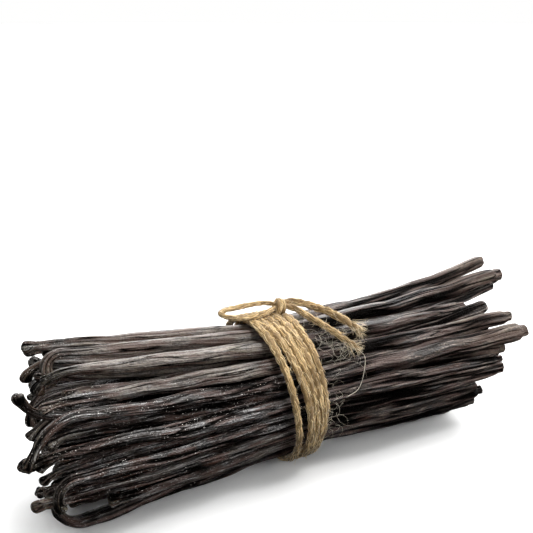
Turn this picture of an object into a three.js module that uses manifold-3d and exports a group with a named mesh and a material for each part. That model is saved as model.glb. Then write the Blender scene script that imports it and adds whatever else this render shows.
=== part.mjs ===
// A bundle of fifty vanilla pods, tied round the middle with jute twine.
// Millimetres, +Z up. The pods lie along X: stem ends at -X, blossom tips at +X.
// The bundle rests on the plane z = 0, and the origin is under the middle of the whole.
import * as THREE from 'three';
import { mergeVertices } from 'three/addons/utils/BufferGeometryUtils.js';
import Module from 'manifold-3d';

const wasm = await Module();
wasm.setup();

// ---- the bundle: distances along it are measured from the tie ----
const TIE_RADIUS = 21;        // outside of the pods under the twine
const STEM_FLARE = 7.8;       // how far the bundle widens towards the stem ends
const TIP_FLARE = 3.2;        // and towards the tips
const FLARE_REACH = 58;       // distance from the tie over which it widens
const TIE_LIFT = 2.4;         // the twine runs under the bundle and lifts it at the tie
const END_SAG = 1.9;          // both ends hang down to the table
const SAG_REACH = 45;
const TIE_PLACE = [-1.1, 0.6];   // the tie's x and y, which centre the whole on the origin

// ---- the pods: rings of them round the middle of the bundle ----
const RINGS = 4;
const OUTER_COUNT = 20;       // pods in the outer ring
const COUNT_STEP = 5;         // each ring inside it has this many fewer
const RING_PITCH = 5;
const RING_TWIST = 0.35;      // each ring is turned by this share of a place
const HALF_WIDTH = 3.1;       // a pod is an oval, wider than deep
const HALF_DEPTH = 2.5;
const WIDTH_ALONG = [         // share of the full width, from the stem (0) to the tip (1)
  [0, 0.6], [0.03, 0.5], [0.1, 0.62], [0.25, 0.86], [0.5, 1], [0.7, 0.97], [0.88, 0.8], [0.97, 0.62], [1, 0.5],
];
const ROUNDING = 0.3;         // towards its ends a pod loses less depth than width

// ---- how unevenly they lie: each range is drawn from, and each stray is to either side ----
const SEED = 7;
const SIZES = [0.88, 1.12];
const STEM_ENDS = [64, 75];   // distance from the tie
const TIP_ENDS = [70, 86];
const STEM_OUT = [-1.5, 2];   // millimetres outwards at the end
const TIP_OUT = [-2, 2];
const STEM_STRAY = 9;         // degrees round the bundle
const TIP_STRAY = 12;
const ROLL_STRAY = 0.5;       // radians about the pod's own length
const HOOK_BEND = [10, 75];   // degrees that the stem curls through
const HOOK_LENGTH = [8, 14];
const UNDERSIDE = 210;        // degrees, past which a place is counted from the other side
const FRONT = [-20, 150];     // degrees round the bundle between which a pod lies at the front
const BACK_SHORTER = 10;      // the others end this much nearer the tie at their stems

// ---- how they settle against each other ----
const STATIONS = [-82, -62, -42, -24, -8, 8, 24, 46, 68, 90];
const END_REACH = 82;         // distance from the tie at which an end's own place is reached
const TURN_EASE = 1.2;        // how late on the way there a pod turns round the bundle
const OUT_EASE = 2.5;         // and how late it moves outwards
const OVERRUN = 0.12;         // a pod still counts this share of its length past its ends
const ROUNDS = 120;
const SQUEEZE = 0.93;         // soft pods press a little into each other
const PUSH = 0.55;
const STIFFNESS = 0.25;
const LOOSE_HOLD = 0.04;      // pull back to where it was laid, for a pod in the heap
const LAID_HOLD = 0.35;       // and for a pod whose ends are laid by hand
const HOLD_FROM = 30;         // distance from the tie past which the stronger pull works
const TIED_REACH = 12;        // the twine holds the pods in as far as this from the tie
const SINK = 0.6;             // the lowest pods are pressed flat on the table by this much

// The pods laid by hand, by ring and place: those at the front, those that the bundle rests on, and
// some stems that fill the gaps between them. What a line leaves out is drawn.
// For each end: degrees round the bundle from the top towards the front, millimetres outwards, and
// the distance from the tie. The hook is the curl of the stem beyond that: degrees it turns through,
// the way it turns (0 back, 90 up, -90 down), and its length.
const LAID = {
  '0.19': { stem: [-18, 0.3, -70], tip: [-8, 6, 84], hook: [25, -40, 7], size: 0.92 },
  '1.14': { stem: [-8, 3, -71], tip: [-14, 1, 80], hook: [80, -95, 9] },
  '0.0': { stem: [6, 0.5, -69], tip: [4, 2, 88], hook: [165, -100, 11] },
  '1.0': { stem: [13, 2.5, -70], tip: [13, 6.5, 82], hook: [80, -95, 9] },
  '0.1': { stem: [24, 0, -68], tip: [26, -1, 66], hook: [60, -60, 9] },
  '1.1': { stem: [33, 4, -65], tip: [30, 6.7, 73.5], hook: [30, -120, 7] },
  '0.2': { stem: [47, 0.5, -73], tip: [49, 0.5, 80], hook: [25, -90, 7] },
  '2.1': { stem: [45, 7, -76], tip: [50, 0, 76], hook: [60, 95, 12] },
  '0.3': { stem: [55, 1.5, -70], tip: [64, 2.3, 82.5], hook: [90, -95, 20] },
  '1.2': { stem: [66, 4, -72], tip: [75, 4.3, 75.5], hook: [30, -90, 8] },
  '0.4': { stem: [76, 0.5, -76], tip: [86, 0, 73], hook: [50, -60, 8] },
  '2.2': { stem: [82, 6, -80], tip: [80, 0, 70], hook: [50, -140, 6] },
  '0.5': { stem: [92, 0.5, -74], tip: [91, 0.5, 73], hook: [140, -95, 11] },
  '1.3': { stem: [92, 2.5, -75], tip: [96, 0.5, 70], hook: [40, -90, 7] },
  '0.6': { stem: [106, 0, -77], tip: [103, 0, 63.5], hook: [30, -40, 8] },
  '1.4': { stem: [108, 2, -73], tip: [114, 2, 66], hook: [20, -140, 8] },
  '0.7': { stem: [121, 0, -58], tip: [114, -1, 68], hook: [20, 0, 6] },
  '0.8': { stem: [159, 3.5, -67.5], tip: [130, -1, 68], hook: [125, 88, 17] },
  '0.9': { stem: [186, 0, -63], tip: [166, 1, 66], hook: [20, 0, 6] },
  '0.10': { stem: [189, 0.5, -66], tip: [198, 1.5, 70], hook: [20, 0, 8] },
  '0.11': { stem: [202, 4, -68], tip: [212, 0, 74], hook: [25, 120, 8] },
  '1.5': { stem: [140, -1, -60], tip: [140, 0, 68], hook: [20, 0, 6] },
  '0.14': { hook: [60, 95, 13] },
  '0.15': { hook: [15, -100, 10] },
  '0.17': { hook: [12, -60, 11] },
  '2.0': { stem: [39, 0, -70], hook: [60, -95, 12] },
  '2.8': { stem: [-30, 0, -69], hook: [110, -95, 13] },
  '2.9': { stem: [12, 0, -70], hook: [60, -95, 9] },
  '0.12': { hook: [20, 0, 16] },
};

// ---- the fused pods: few sides each, round a core ----
const OUTER_SIDES = 6;
const INNER_SIDES = 5;
const OUTER_STEPS = 9;        // rings along a pod of the outer ring
const INNER_STEPS = 6;        // and of the ring inside it
const SHARP_HOOK = 60;        // a stem that turns through more degrees than this gets more steps
const SHARP_STEPS = 5;
const SLIGHT_STEPS = 2;
const CORE_REACH = 58;        // the core ends this far from the tie
const CORE_INSET = 7;         // it stays this far inside the bundle
const CORE_TAPER = 9;         // and by this much more at its ends
const CORE_STEPS = 8;
const CORE_SIDES = 14;
const STUB_FROM = 42;         // pods further in show only at their ends
const STUB_STEPS = 2;
const DOME = 0.7;             // rounding of a pod's end
const TABLE = [300, 200, 20]; // cuts the underside flat at z = 0

// ---- the twine ----
const TWINE_RADIUS = 1;
const TWINE_GAP = 0.6;        // between the pods and the twine
const TWINE_SIDES = 6;
const TURN_STEPS = 24;
const TURNS = [               // for each turn, its distance from the tie on top, at the sides, underneath
  [-10.6, -7.6, -3.6], [-8, -3.3, -2.2], [-5, -1.4, -0.8], [-2, 0.1, 0.6], [1, 1.6, 2],
];
const KNOT = [0.4, -6, 3.6];  // distance from the tie, degrees round the bundle, height over the pods
const KNOT_BALL = [2.2, 10, 7];            // its radius, and its faces round and from top to bottom
const COLLAR = [1.8, 1, TWINE_SIDES, 10];  // the twine drawn round it: radii of ring and twine, faces
const COLLAR_LEAN = 70;                    // degrees that the collar leans towards the bow
const LOOP_RADIUS = 0.8;      // the bow's loop is drawn thin
const LOOP = [                // its route, in the same three measures
  [0.5, -6, 4.2], [-4, -8, 5.4], [-11, -9, 5.2], [-17, -9, 4.6], [-19.4, -6, 3.9],
  [-18, -1, 3.4], [-13, 2, 2.9], [-7, 2, 3.6], [-1, -4, 3.8],
];
const TAILS = [
  [[1.5, -6, 4.6], [6, -5, 4.4], [11.5, 1, 2.4], [14, 11, 2], [17, 25, 2], [20, 39, 2]],
  [[1.5, -4, 4], [4.5, 1, 3.2], [6, 10, 2.4], [8.5, 23, 2], [12, 37, 2], [16.5, 51, 2]],
];
const LOOP_STEPS = 16;
const TAIL_STEPS = 9;

const POD_COLOUR = 0x2a211d;
const TWINE_COLOUR = 0xc29a5e;

const radians = THREE.MathUtils.degToRad;

// a small random source, the "minimal standard" generator, so that every run lays the pods alike
function draws(seed) {
  const multiplier = 48271;
  const modulus = 2 ** 31 - 1;
  const warmUp = 5;
  let state = seed;
  const draw = ([low, high]) => {
    state = (state * multiplier) % modulus;
    return low + ((high - low) * state) / modulus;
  };
  for (let k = 0; k < warmUp; k += 1) draw([0, 1]);
  return draw;
}

function bundleRadius(x) {
  const flare = x < 0 ? STEM_FLARE : TIP_FLARE;
  return TIE_RADIUS + flare * (1 - Math.exp(-((x / FLARE_REACH) ** 2)));
}

function axisHeight(x) {
  return bundleRadius(x) - END_SAG + (TIE_LIFT + END_SAG) * Math.exp(-((x / SAG_REACH) ** 2));
}

// a point over the pods: distance from the tie, degrees round the bundle, and height above the pods
function over([x, degrees, above]) {
  const radius = bundleRadius(x) + above;
  const angle = radians(degrees);
  return new THREE.Vector3(x, -radius * Math.sin(angle), axisHeight(x) + radius * Math.cos(angle));
}

// a straight line between the pairs of a list
function between(pairs, at) {
  let k = 1;
  while (k < pairs.length - 1 && pairs[k][0] < at) k += 1;
  const [a, low] = pairs[k - 1];
  const [b, high] = pairs[k];
  return low + ((high - low) * (Math.min(Math.max(at, a), b) - a)) / (b - a);
}

function layPods() {
  const draw = draws(SEED);
  const stray = (reach) => draw([-reach, reach]);
  const pods = [];
  for (let ring = 0; ring < RINGS; ring += 1) {
    const count = OUTER_COUNT - COUNT_STEP * ring;
    for (let place = 0; place < count; place += 1) {
      let angle = (360 * (place + 0.5 + RING_TWIST * ring)) / count;
      if (angle > UNDERSIDE) angle -= 360;
      const shorter = angle < FRONT[0] || angle > FRONT[1] ? BACK_SHORTER : 0;
      const pod = {
        ring,
        angle,
        radius: TIE_RADIUS - HALF_DEPTH - ring * RING_PITCH,
        size: draw(SIZES),
        stem: [angle + stray(STEM_STRAY), draw(STEM_OUT), shorter - draw(STEM_ENDS)],
        tip: [angle + stray(TIP_STRAY), draw(TIP_OUT), draw(TIP_ENDS)],
        tilt: radians(angle) + stray(ROLL_STRAY),
        hook: [draw(HOOK_BEND), stray(180), draw(HOOK_LENGTH)],
        byHand: `${ring}.${place}` in LAID,
      };
      pods.push(Object.assign(pod, LAID[`${ring}.${place}`]));
    }
  }
  return pods;
}

// half width and half depth at a share of the pod's length
function section(pod, share) {
  const width = between(WIDTH_ALONG, share);
  return [HALF_WIDTH * pod.size * width, HALF_DEPTH * pod.size * (ROUNDING + (1 - ROUNDING) * width)];
}

// how far an oval reaches from its middle in the direction (y, z)
function reach([halfWidth, halfDepth], tilt, y, z) {
  const along = Math.abs(y * Math.cos(tilt) + z * Math.sin(tilt));
  return Math.sqrt((halfWidth * along) ** 2 + halfDepth ** 2 * (1 - along ** 2));
}

// where each pod runs at each station: laid in rings, then pushed apart until they only touch
function settle(pods) {
  const cells = STATIONS.map((x) => pods.map((pod) => {
    const end = x < 0 ? pod.stem : pod.tip;
    const share = Math.abs(x) / END_REACH;
    const angle = radians(pod.angle + (end[0] - pod.angle) * share ** TURN_EASE);
    const radius = (pod.radius * bundleRadius(x)) / TIE_RADIUS + end[1] * share ** OUT_EASE;
    const along = (x - pod.stem[2]) / (pod.tip[2] - pod.stem[2]);
    const laid = [-radius * Math.sin(angle), axisHeight(x) + radius * Math.cos(angle)];
    return {
      laid,
      at: [...laid],
      tilt: pod.tilt,
      oval: section(pod, along),
      there: along > -OVERRUN && along < 1 + OVERRUN,
      hold: pod.byHand && Math.abs(x) > HOLD_FROM ? LAID_HOLD : LOOSE_HOLD,
    };
  }));
  for (let round = 0; round < ROUNDS; round += 1) {
    for (const row of cells) pushApart(row);
    stiffen(cells);
    STATIONS.forEach((x, k) => cells[k].forEach((cell) => confine(cell, x)));
  }
  return cells;
}

function pushApart(row) {
  const move = row.map(() => [0, 0]);
  for (let i = 0; i < row.length; i += 1) {
    for (let j = 0; j < i; j += 1) {
      if (!row[i].there || !row[j].there) continue;
      const dy = row[i].at[0] - row[j].at[0];
      const dz = row[i].at[1] - row[j].at[1];
      const distance = Math.hypot(dy, dz);
      const y = dy / distance;
      const z = dz / distance;
      const room = reach(row[i].oval, row[i].tilt, y, z) + reach(row[j].oval, row[j].tilt, y, z);
      const push = (Math.max(room * SQUEEZE - distance, 0) / 2) * PUSH;
      move[i][0] += y * push * (1 - row[i].hold);
      move[i][1] += z * push * (1 - row[i].hold);
      move[j][0] -= y * push * (1 - row[j].hold);
      move[j][1] -= z * push * (1 - row[j].hold);
    }
  }
  row.forEach((cell, i) => {
    for (const axis of [0, 1]) {
      cell.at[axis] += move[i][axis];
      cell.at[axis] += (cell.laid[axis] - cell.at[axis]) * cell.hold;
    }
  });
}

// a pod doesn't kink: each station is drawn towards the line between its neighbours
function stiffen(cells) {
  const before = cells.map((row) => row.map((cell) => [...cell.at]));
  for (let k = 1; k < cells.length - 1; k += 1) {
    cells[k].forEach((cell, i) => {
      for (const axis of [0, 1]) {
        const straight = (before[k - 1][i][axis] + before[k + 1][i][axis]) / 2;
        cell.at[axis] += STIFFNESS * (straight - before[k][i][axis]);
      }
    });
  }
}

// the table is below, and the twine holds the pods round the tie
function confine(cell, x) {
  cell.at[1] = Math.max(cell.at[1], reach(cell.oval, cell.tilt, 0, 1) - SINK);
  if (Math.abs(x) > TIED_REACH) return;
  const dy = cell.at[0];
  const dz = cell.at[1] - axisHeight(x);
  const radius = Math.hypot(dy, dz);
  const outside = radius + reach(cell.oval, cell.tilt, dy / radius, dz / radius) - TIE_RADIUS;
  if (outside <= 0) return;
  cell.at[0] -= (dy / radius) * outside;
  cell.at[1] -= (dz / radius) * outside;
}

// a smooth curve through the values at the stations
function smooth(values, x) {
  let k = 0;
  while (k < STATIONS.length - 2 && STATIONS[k + 1] < x) k += 1;
  const slope = (j) => {
    const a = Math.max(j - 1, 0);
    const b = Math.min(j + 1, STATIONS.length - 1);
    return (values[b] - values[a]) / (STATIONS[b] - STATIONS[a]);
  };
  const span = STATIONS[k + 1] - STATIONS[k];
  const t = (x - STATIONS[k]) / span;
  return (2 * t ** 3 - 3 * t ** 2 + 1) * values[k] + (t ** 3 - 2 * t ** 2 + t) * span * slope(k)
    + (3 * t ** 2 - 2 * t ** 3) * values[k + 1] + (t ** 3 - t ** 2) * span * slope(k + 1);
}

// the middle line of a pod towards its stem, and round the stem's hook, with each point's share
// of the pod's length
function podLine(pod, cells, index, from, to, steps, hookSteps) {
  const ys = cells.map((row) => row[index].at[0]);
  const zs = cells.map((row) => row[index].at[1]);
  const [bend, way, length] = pod.hook;
  const whole = pod.tip[2] - pod.stem[2] + length;
  const line = [];
  const shares = [];
  for (let k = 0; k <= steps; k += 1) {
    const x = from + ((to - from) * k) / steps;
    line.push(new THREE.Vector3(x, smooth(ys, x), smooth(zs, x)));
    shares.push((x - pod.stem[2] + length) / whole);
  }
  const heading = line.at(-1).clone().sub(line.at(-2)).normalize();
  const aside = new THREE.Vector3(0, Math.cos(radians(way)), Math.sin(radians(way)));
  aside.addScaledVector(heading, -aside.dot(heading)).normalize();
  for (let k = 0; k < hookSteps; k += 1) {
    const turn = radians(bend) * ((k + 0.5) / hookSteps);
    const step = heading.clone().multiplyScalar(Math.cos(turn)).addScaledVector(aside, Math.sin(turn));
    line.push(line.at(-1).clone().addScaledVector(step, length / hookSteps));
    shares.push((length * (1 - (k + 1) / hookSteps)) / whole);
  }
  return { line, shares };
}

// a closed solid along a line: a cylinder whose rings are moved onto it and given each place's oval
function sweep(line, ovals, flat, sides, dome) {
  const last = line.length - 1;
  const shape = new THREE.CylinderGeometry(1, 1, 1, sides, last);
  const across = [];
  const headings = [];
  let side = flat.clone();
  for (let k = 0; k <= last; k += 1) {
    const heading = line[Math.min(k + 1, last)].clone().sub(line[Math.max(k - 1, 0)]).normalize();
    side = side.clone().addScaledVector(heading, -side.dot(heading)).normalize();
    headings.push(heading);
    across.push(side);
  }
  const place = shape.getAttribute('position');
  for (let v = 0; v < place.count; v += 1) {
    const k = Math.round((0.5 - place.getY(v)) * last);
    const up = new THREE.Vector3().crossVectors(headings[k], across[k]);
    const point = line[k].clone();
    point.addScaledVector(across[k], place.getX(v) * ovals[k][0]);
    point.addScaledVector(up, place.getZ(v) * ovals[k][1]);
    const isCapMiddle = Math.hypot(place.getX(v), place.getZ(v)) < 0.5;
    if (isCapMiddle) point.addScaledVector(headings[k], k === 0 ? -dome : dome);
    place.setXYZ(v, point.x, point.y, point.z);
  }
  return shape;
}

// a section with few sides is made larger, so that it holds as much as the round one
function fullness(sides) {
  const turn = (2 * Math.PI) / sides;
  return Math.sqrt(turn / Math.sin(turn));
}

function solid(geometry) {
  geometry.deleteAttribute('normal');
  geometry.deleteAttribute('uv');
  const merged = mergeVertices(geometry, 1e-5);
  const mesh = new wasm.Mesh({
    numProp: 3,
    vertProperties: new Float32Array(merged.getAttribute('position').array),
    triVerts: new Uint32Array(merged.getIndex().array),
  });
  return new wasm.Manifold(mesh);
}

// joined solids, cut flat where they lie on the table, without loose scraps
function fuse(pieces) {
  const table = new THREE.BoxGeometry(...TABLE);
  table.translate(0, 0, -TABLE[2] / 2);
  const whole = pieces.reduce((sum, piece) => sum.add(piece)).subtract(solid(table));
  return whole.decompose().reduce((best, part) => (part.volume() > best.volume() ? part : best));
}

function toMesh(manifold, name, material) {
  const { numProp, vertProperties, triVerts } = manifold.getMesh();
  const geometry = new THREE.BufferGeometry();
  const points = new Float32Array((vertProperties.length / numProp) * 3);
  for (let v = 0; v < points.length / 3; v += 1) {
    for (const axis of [0, 1, 2]) points[3 * v + axis] = vertProperties[numProp * v + axis];
  }
  geometry.setAttribute('position', new THREE.BufferAttribute(points, 3));
  geometry.setIndex(new THREE.BufferAttribute(new Uint32Array(triVerts), 1));
  const mesh = new THREE.Mesh(geometry, material);
  mesh.name = name;
  return mesh;
}

// a whole pod for the two outer rings, and only the two ends for those further in
function podSolids(pod, cells, index) {
  const flat = new THREE.Vector3(0, Math.cos(pod.tilt), Math.sin(pod.tilt));
  const piece = (from, to, steps, hookSteps, sides) => {
    const { line, shares } = podLine(pod, cells, index, from, to, steps, hookSteps);
    const ovals = shares.map((share) => section(pod, share).map((half) => half * fullness(sides)));
    return solid(sweep(line, ovals, flat, sides, DOME));
  };
  const hookSteps = pod.hook[0] > SHARP_HOOK ? SHARP_STEPS : SLIGHT_STEPS;
  if (pod.ring === 0) return [piece(pod.tip[2], pod.stem[2], OUTER_STEPS, hookSteps, OUTER_SIDES)];
  if (pod.ring === 1) return [piece(pod.tip[2], pod.stem[2], INNER_STEPS, hookSteps, INNER_SIDES)];
  return [
    piece(-STUB_FROM, pod.stem[2], STUB_STEPS, hookSteps, INNER_SIDES),
    piece(pod.tip[2], STUB_FROM, STUB_STEPS, 0, INNER_SIDES),
  ];
}

function coreSolid() {
  const line = [];
  const ovals = [];
  for (let k = 0; k <= CORE_STEPS; k += 1) {
    const x = CORE_REACH * (1 - (2 * k) / CORE_STEPS);
    const radius = bundleRadius(x) - CORE_INSET - CORE_TAPER * (x / CORE_REACH) ** 4;
    line.push(new THREE.Vector3(x, 0, axisHeight(x)));
    ovals.push([radius, radius]);
  }
  return solid(sweep(line, ovals, new THREE.Vector3(0, 1, 0), CORE_SIDES, 0));
}

// one turn of the twine round the pods: a ring whose points are moved out to them
function turnSolid([top, side, bottom]) {
  const thin = 0.2;
  const shape = new THREE.TorusGeometry(1, thin, TWINE_SIDES, TURN_STEPS);
  const thick = TWINE_RADIUS * fullness(TWINE_SIDES);
  const place = shape.getAttribute('position');
  for (let v = 0; v < place.count; v += 1) {
    const angle = Math.atan2(place.getY(v), place.getX(v));
    const outwards = (Math.hypot(place.getX(v), place.getY(v)) - 1) / thin;
    const level = Math.cos(angle);
    const x = side + ((top - bottom) / 2) * level + ((top + bottom) / 2 - side) * level ** 2;
    const above = TWINE_GAP + TWINE_RADIUS + thick * outwards;
    const point = over([x, THREE.MathUtils.radToDeg(angle), above]);
    place.setXYZ(v, x + (place.getZ(v) / thin) * thick, point.y, point.z);
  }
  return solid(shape);
}

// a free length of twine along a route
function strandSolid(route, radius, steps) {
  const curve = new THREE.CatmullRomCurve3(route.map(over));
  const line = curve.getSpacedPoints(steps);
  const half = radius * fullness(TWINE_SIDES);
  const ovals = line.map(() => [half, half]);
  return solid(sweep(line, ovals, new THREE.Vector3(0, 0, 1), TWINE_SIDES, 0));
}

function knotSolids() {
  const middle = over(KNOT);
  const ball = new THREE.SphereGeometry(...KNOT_BALL);
  const collar = new THREE.TorusGeometry(...COLLAR);
  collar.rotateY(radians(COLLAR_LEAN));
  return [ball, collar].map((shape) => solid(shape.translate(middle.x, middle.y, middle.z)));
}

function twineSolid() {
  return fuse([
    ...TURNS.map(turnSolid),
    ...knotSolids(),
    strandSolid(LOOP, LOOP_RADIUS, LOOP_STEPS),
    ...TAILS.map((route) => strandSolid(route, TWINE_RADIUS, TAIL_STEPS)),
  ]);
}

function bundleSolid() {
  const pods = layPods();
  const cells = settle(pods);
  return fuse([coreSolid(), ...pods.flatMap((pod, index) => podSolids(pod, cells, index))]);
}

const podMaterial = new THREE.MeshStandardMaterial({ color: POD_COLOUR, roughness: 0.5, metalness: 0 });
const twineMaterial = new THREE.MeshStandardMaterial({ color: TWINE_COLOUR, roughness: 0.9, metalness: 0 });

const group = new THREE.Group();
group.add(toMesh(bundleSolid(), 'pods', podMaterial));
group.add(toMesh(twineSolid(), 'twine', twineMaterial));
group.position.set(...TIE_PLACE, 0);

export default group;
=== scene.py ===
# %% [markdown]
# # A tied bundle of vanilla pods
# About fifty cured pods lie side by side, held round the middle by a few turns of jute twine with a
# small bow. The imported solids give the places; this lesson makes the real surfaces over them: pods
# with wrinkled, oily skin, and a hairy twine of two plies.
#
# Lengths are worked out in millimetres, because that is how pods and twine are measured. They turn
# into metres only where a mesh is made.

# %% the frame that everything is built on
import math
from itertools import product
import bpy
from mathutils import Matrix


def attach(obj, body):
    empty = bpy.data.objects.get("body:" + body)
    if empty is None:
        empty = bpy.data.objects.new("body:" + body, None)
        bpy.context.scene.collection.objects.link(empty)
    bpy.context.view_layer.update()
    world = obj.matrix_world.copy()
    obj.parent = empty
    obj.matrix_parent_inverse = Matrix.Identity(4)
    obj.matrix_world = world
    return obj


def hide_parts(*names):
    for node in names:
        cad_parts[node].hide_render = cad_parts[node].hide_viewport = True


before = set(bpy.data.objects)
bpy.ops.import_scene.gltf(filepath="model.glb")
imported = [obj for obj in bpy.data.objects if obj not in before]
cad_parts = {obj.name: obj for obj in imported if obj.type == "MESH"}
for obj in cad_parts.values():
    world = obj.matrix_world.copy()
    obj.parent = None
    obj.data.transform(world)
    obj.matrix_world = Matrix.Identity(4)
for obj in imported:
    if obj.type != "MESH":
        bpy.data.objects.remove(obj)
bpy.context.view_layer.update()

from types import SimpleNamespace

import bpy
import numpy as np

MM = 0.001

# %% [markdown]
# ## The camera
# A bundle like this is shown from its front left, a little from above, so that the curled stem
# ends come towards the viewer. A camera could be aimed with a constraint. Two plain turns are
# enough: down from the level, and round towards +X.

# %% camera
EYE = (-129.1, -213.3, 139.6)
TURN = 29.85        # degrees from +Y towards +X
DOWN = 17.4         # degrees below the level
LENS = 59.1         # millimetres
SENSOR = 36.0       # millimetres, the width of the frame behind the lens
NEAREST = 0.01      # metres; nearer things are not shown


def add_object(name, data):
    made = bpy.data.objects.new(name, data)
    bpy.context.scene.collection.objects.link(made)
    return made


def make_camera():
    data = bpy.data.cameras.new("camera")
    data.lens = LENS
    data.sensor_width = SENSOR
    data.clip_start = NEAREST
    camera = add_object("camera", data)
    camera.location = [value * MM for value in EYE]
    camera.rotation_euler = (math.radians(90 - DOWN), 0, math.radians(-TURN))
    bpy.context.scene.camera = camera


make_camera()
print("camera", EYE, "lens", LENS)

# %% [markdown]
# ## Shader sums as Python
# A finish is easier to read as a sum than as a list of links. `Wire` wraps a socket, and an
# expression on it adds the Math nodes. Vectors go through Vector Math and colours through Mix,
# because a Math node would turn a colour grey.


# %% a socket that can be used in a sum
class Wire:
    """A number or vector that runs between nodes. Sums on it add nodes to its finish."""

    def __init__(self, finish, socket):
        self.finish = finish
        self.socket = socket

    def _math(self, operation, *values):
        kind = "ShaderNodeVectorMath" if self.socket.type == "VECTOR" else "ShaderNodeMath"
        return self.finish.node(kind, {"operation": operation}, dict(enumerate(values)))

    def __add__(self, other):
        return self._math("ADD", self, other)

    def __sub__(self, other):
        return self._math("SUBTRACT", self, other)

    def __rsub__(self, other):
        return self._math("SUBTRACT", other, self)

    def __mul__(self, other):
        return self._math("MULTIPLY", self, other)

    __radd__ = __add__
    __rmul__ = __mul__

    def above(self, low, high):
        """0 below low, 1 above high, and smooth between them."""
        settings = {"interpolation_type": "SMOOTHSTEP"}
        return self.finish.node("ShaderNodeMapRange", settings, {0: self, 1: low, 2: high})

    def line(self, wide):
        """1 on the thin lines where a noise crosses a half, and 0 further off than wide."""
        return self.above(0.5 - wide, 0.5) * (1 - self.above(0.5, 0.5 + wide))


print("sums on", Wire.__name__, "add nodes")

# %% a finish, node by node
SHARE_IN, LOW_IN, HIGH_IN, COLOUR_OUT = 0, 6, 7, 2     # sockets of a Mix node set to colours


class Finish:
    """The nodes of one material, or of the sky, made by calls and sums."""

    def __init__(self, owner):
        owner.use_nodes = True
        self.owner = owner
        self.tree = owner.node_tree
        self.tree.nodes.clear()

    def node(self, kind, settings=None, sockets=None, out=0):
        """A node of this kind; its settings come first, then its sockets' values or links."""
        made = self.tree.nodes.new(kind)
        for name, value in (settings or {}).items():
            setattr(made, name, value)
        for name, value in (sockets or {}).items():
            if isinstance(value, Wire):
                self.tree.links.new(value.socket, made.inputs[name])
            else:
                made.inputs[name].default_value = value
        return Wire(self, made.outputs[out])

    def drawn(self, name, out=1):
        """A value that the mesh carries: out is 1 for a vector and 2 for a number."""
        return self.node("ShaderNodeAttribute", {"attribute_name": name}, out=out)

    def noise(self, at, size=1.0, detail=2.0, roughness=0.5):
        """Hills from 0 to 1, with size for their number in each unit of at."""
        sockets = {"Vector": at, "Scale": size, "Detail": detail, "Roughness": roughness}
        return self.node("ShaderNodeTexNoise", None, sockets)

    def mix(self, share, low, high):
        """From colour low to colour high."""
        low, high = (c if isinstance(c, Wire) else (*c, 1.0) for c in (low, high))
        sockets = {SHARE_IN: share, LOW_IN: low, HIGH_IN: high}
        return self.node("ShaderNodeMix", {"data_type": "RGBA"}, sockets, COLOUR_OUT)

    def bump(self, height, strength, distance):
        """Small relief that is only shaded; distance is in millimetres."""
        sockets = {"Height": height, "Strength": strength, "Distance": distance * MM}
        return self.node("ShaderNodeBump", None, sockets)

    def surface(self, **sockets):
        """The Principled surface that ends a material; an underscore stands for a space."""
        named = {name.replace("_", " "): value for name, value in sockets.items()}
        shader = self.node("ShaderNodeBsdfPrincipled", None, named)
        output = self.tree.nodes.new("ShaderNodeOutputMaterial")
        self.tree.links.new(shader.socket, output.inputs["Surface"])
        return self.owner


print("finishes are ready to be made")

# %% [markdown]
# ## The studio
# Dark, oily skin is shown by what it reflects. A white room would turn it grey all over, and one
# small lamp would leave a few hard glints. A long thing mirrors only what stands on a cone round
# its own length, so the lights stand on that cone: a wide one low behind the bundle, for the tops
# of the pods, a wide one above and one at the front for their faces, and two small ones that the
# fine wrinkles break into glitter. The fill light stands off the cone: it brings out the twine and
# the dry skin, and leaves the oily skin black. Two weak lights show the cut ends. The floor and the
# backdrop are plain and pale, but they neither light the pods nor are mirrored in them, so that
# the faces below stay black, as if the pods lay on a small table in a dark room.

# %% floor and backdrop
FLOOR_COLOUR = (0.90, 0.90, 0.895)
FLOOR_SPECKLE = 0.985   # of that colour, where its faint speckle is darkest
SPECKLE_SIZE = 40.0     # speckles to a metre
FLOOR_HALF = 30.0       # metres
FLOOR_LEVEL = -0.1      # millimetres, so that nothing lies exactly in it
BACKDROP_COLOUR = (1.0, 1.0, 0.995, 1.0)
BACKDROP_RADIUS = 4.0   # metres
BACKDROP_SIDES = 48
NO_COLOUR = (0.0, 0.0, 0.0, 1.0)


def angles_round(count):
    """This many angles, evenly round a circle."""
    return np.linspace(0, 2 * math.pi, count, endpoint=False)


def set_stage(name, points, faces, surface):
    """A part of the studio that neither lights the bundle nor is mirrored in it."""
    mesh = bpy.data.meshes.new(name)
    mesh.from_pydata(points, [], faces)
    mesh.materials.append(surface)
    made = add_object(name, mesh)
    made.visible_glossy = False
    made.visible_diffuse = False
    return made


def make_floor():
    finish = Finish(bpy.data.materials.new("floor"))
    speckle = finish.noise(finish.node("ShaderNodeTexCoord", out=3), SPECKLE_SIZE)
    darker = [value * FLOOR_SPECKLE for value in FLOOR_COLOUR]
    surface = finish.surface(Base_Color=finish.mix(speckle, FLOOR_COLOUR, darker), Roughness=0.7)
    sides = (-1, -1), (1, -1), (1, 1), (-1, 1)
    corners = [(x * FLOOR_HALF, y * FLOOR_HALF, FLOOR_LEVEL * MM) for x, y in sides]
    set_stage("floor", corners, [(0, 1, 2, 3)], surface)


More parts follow.
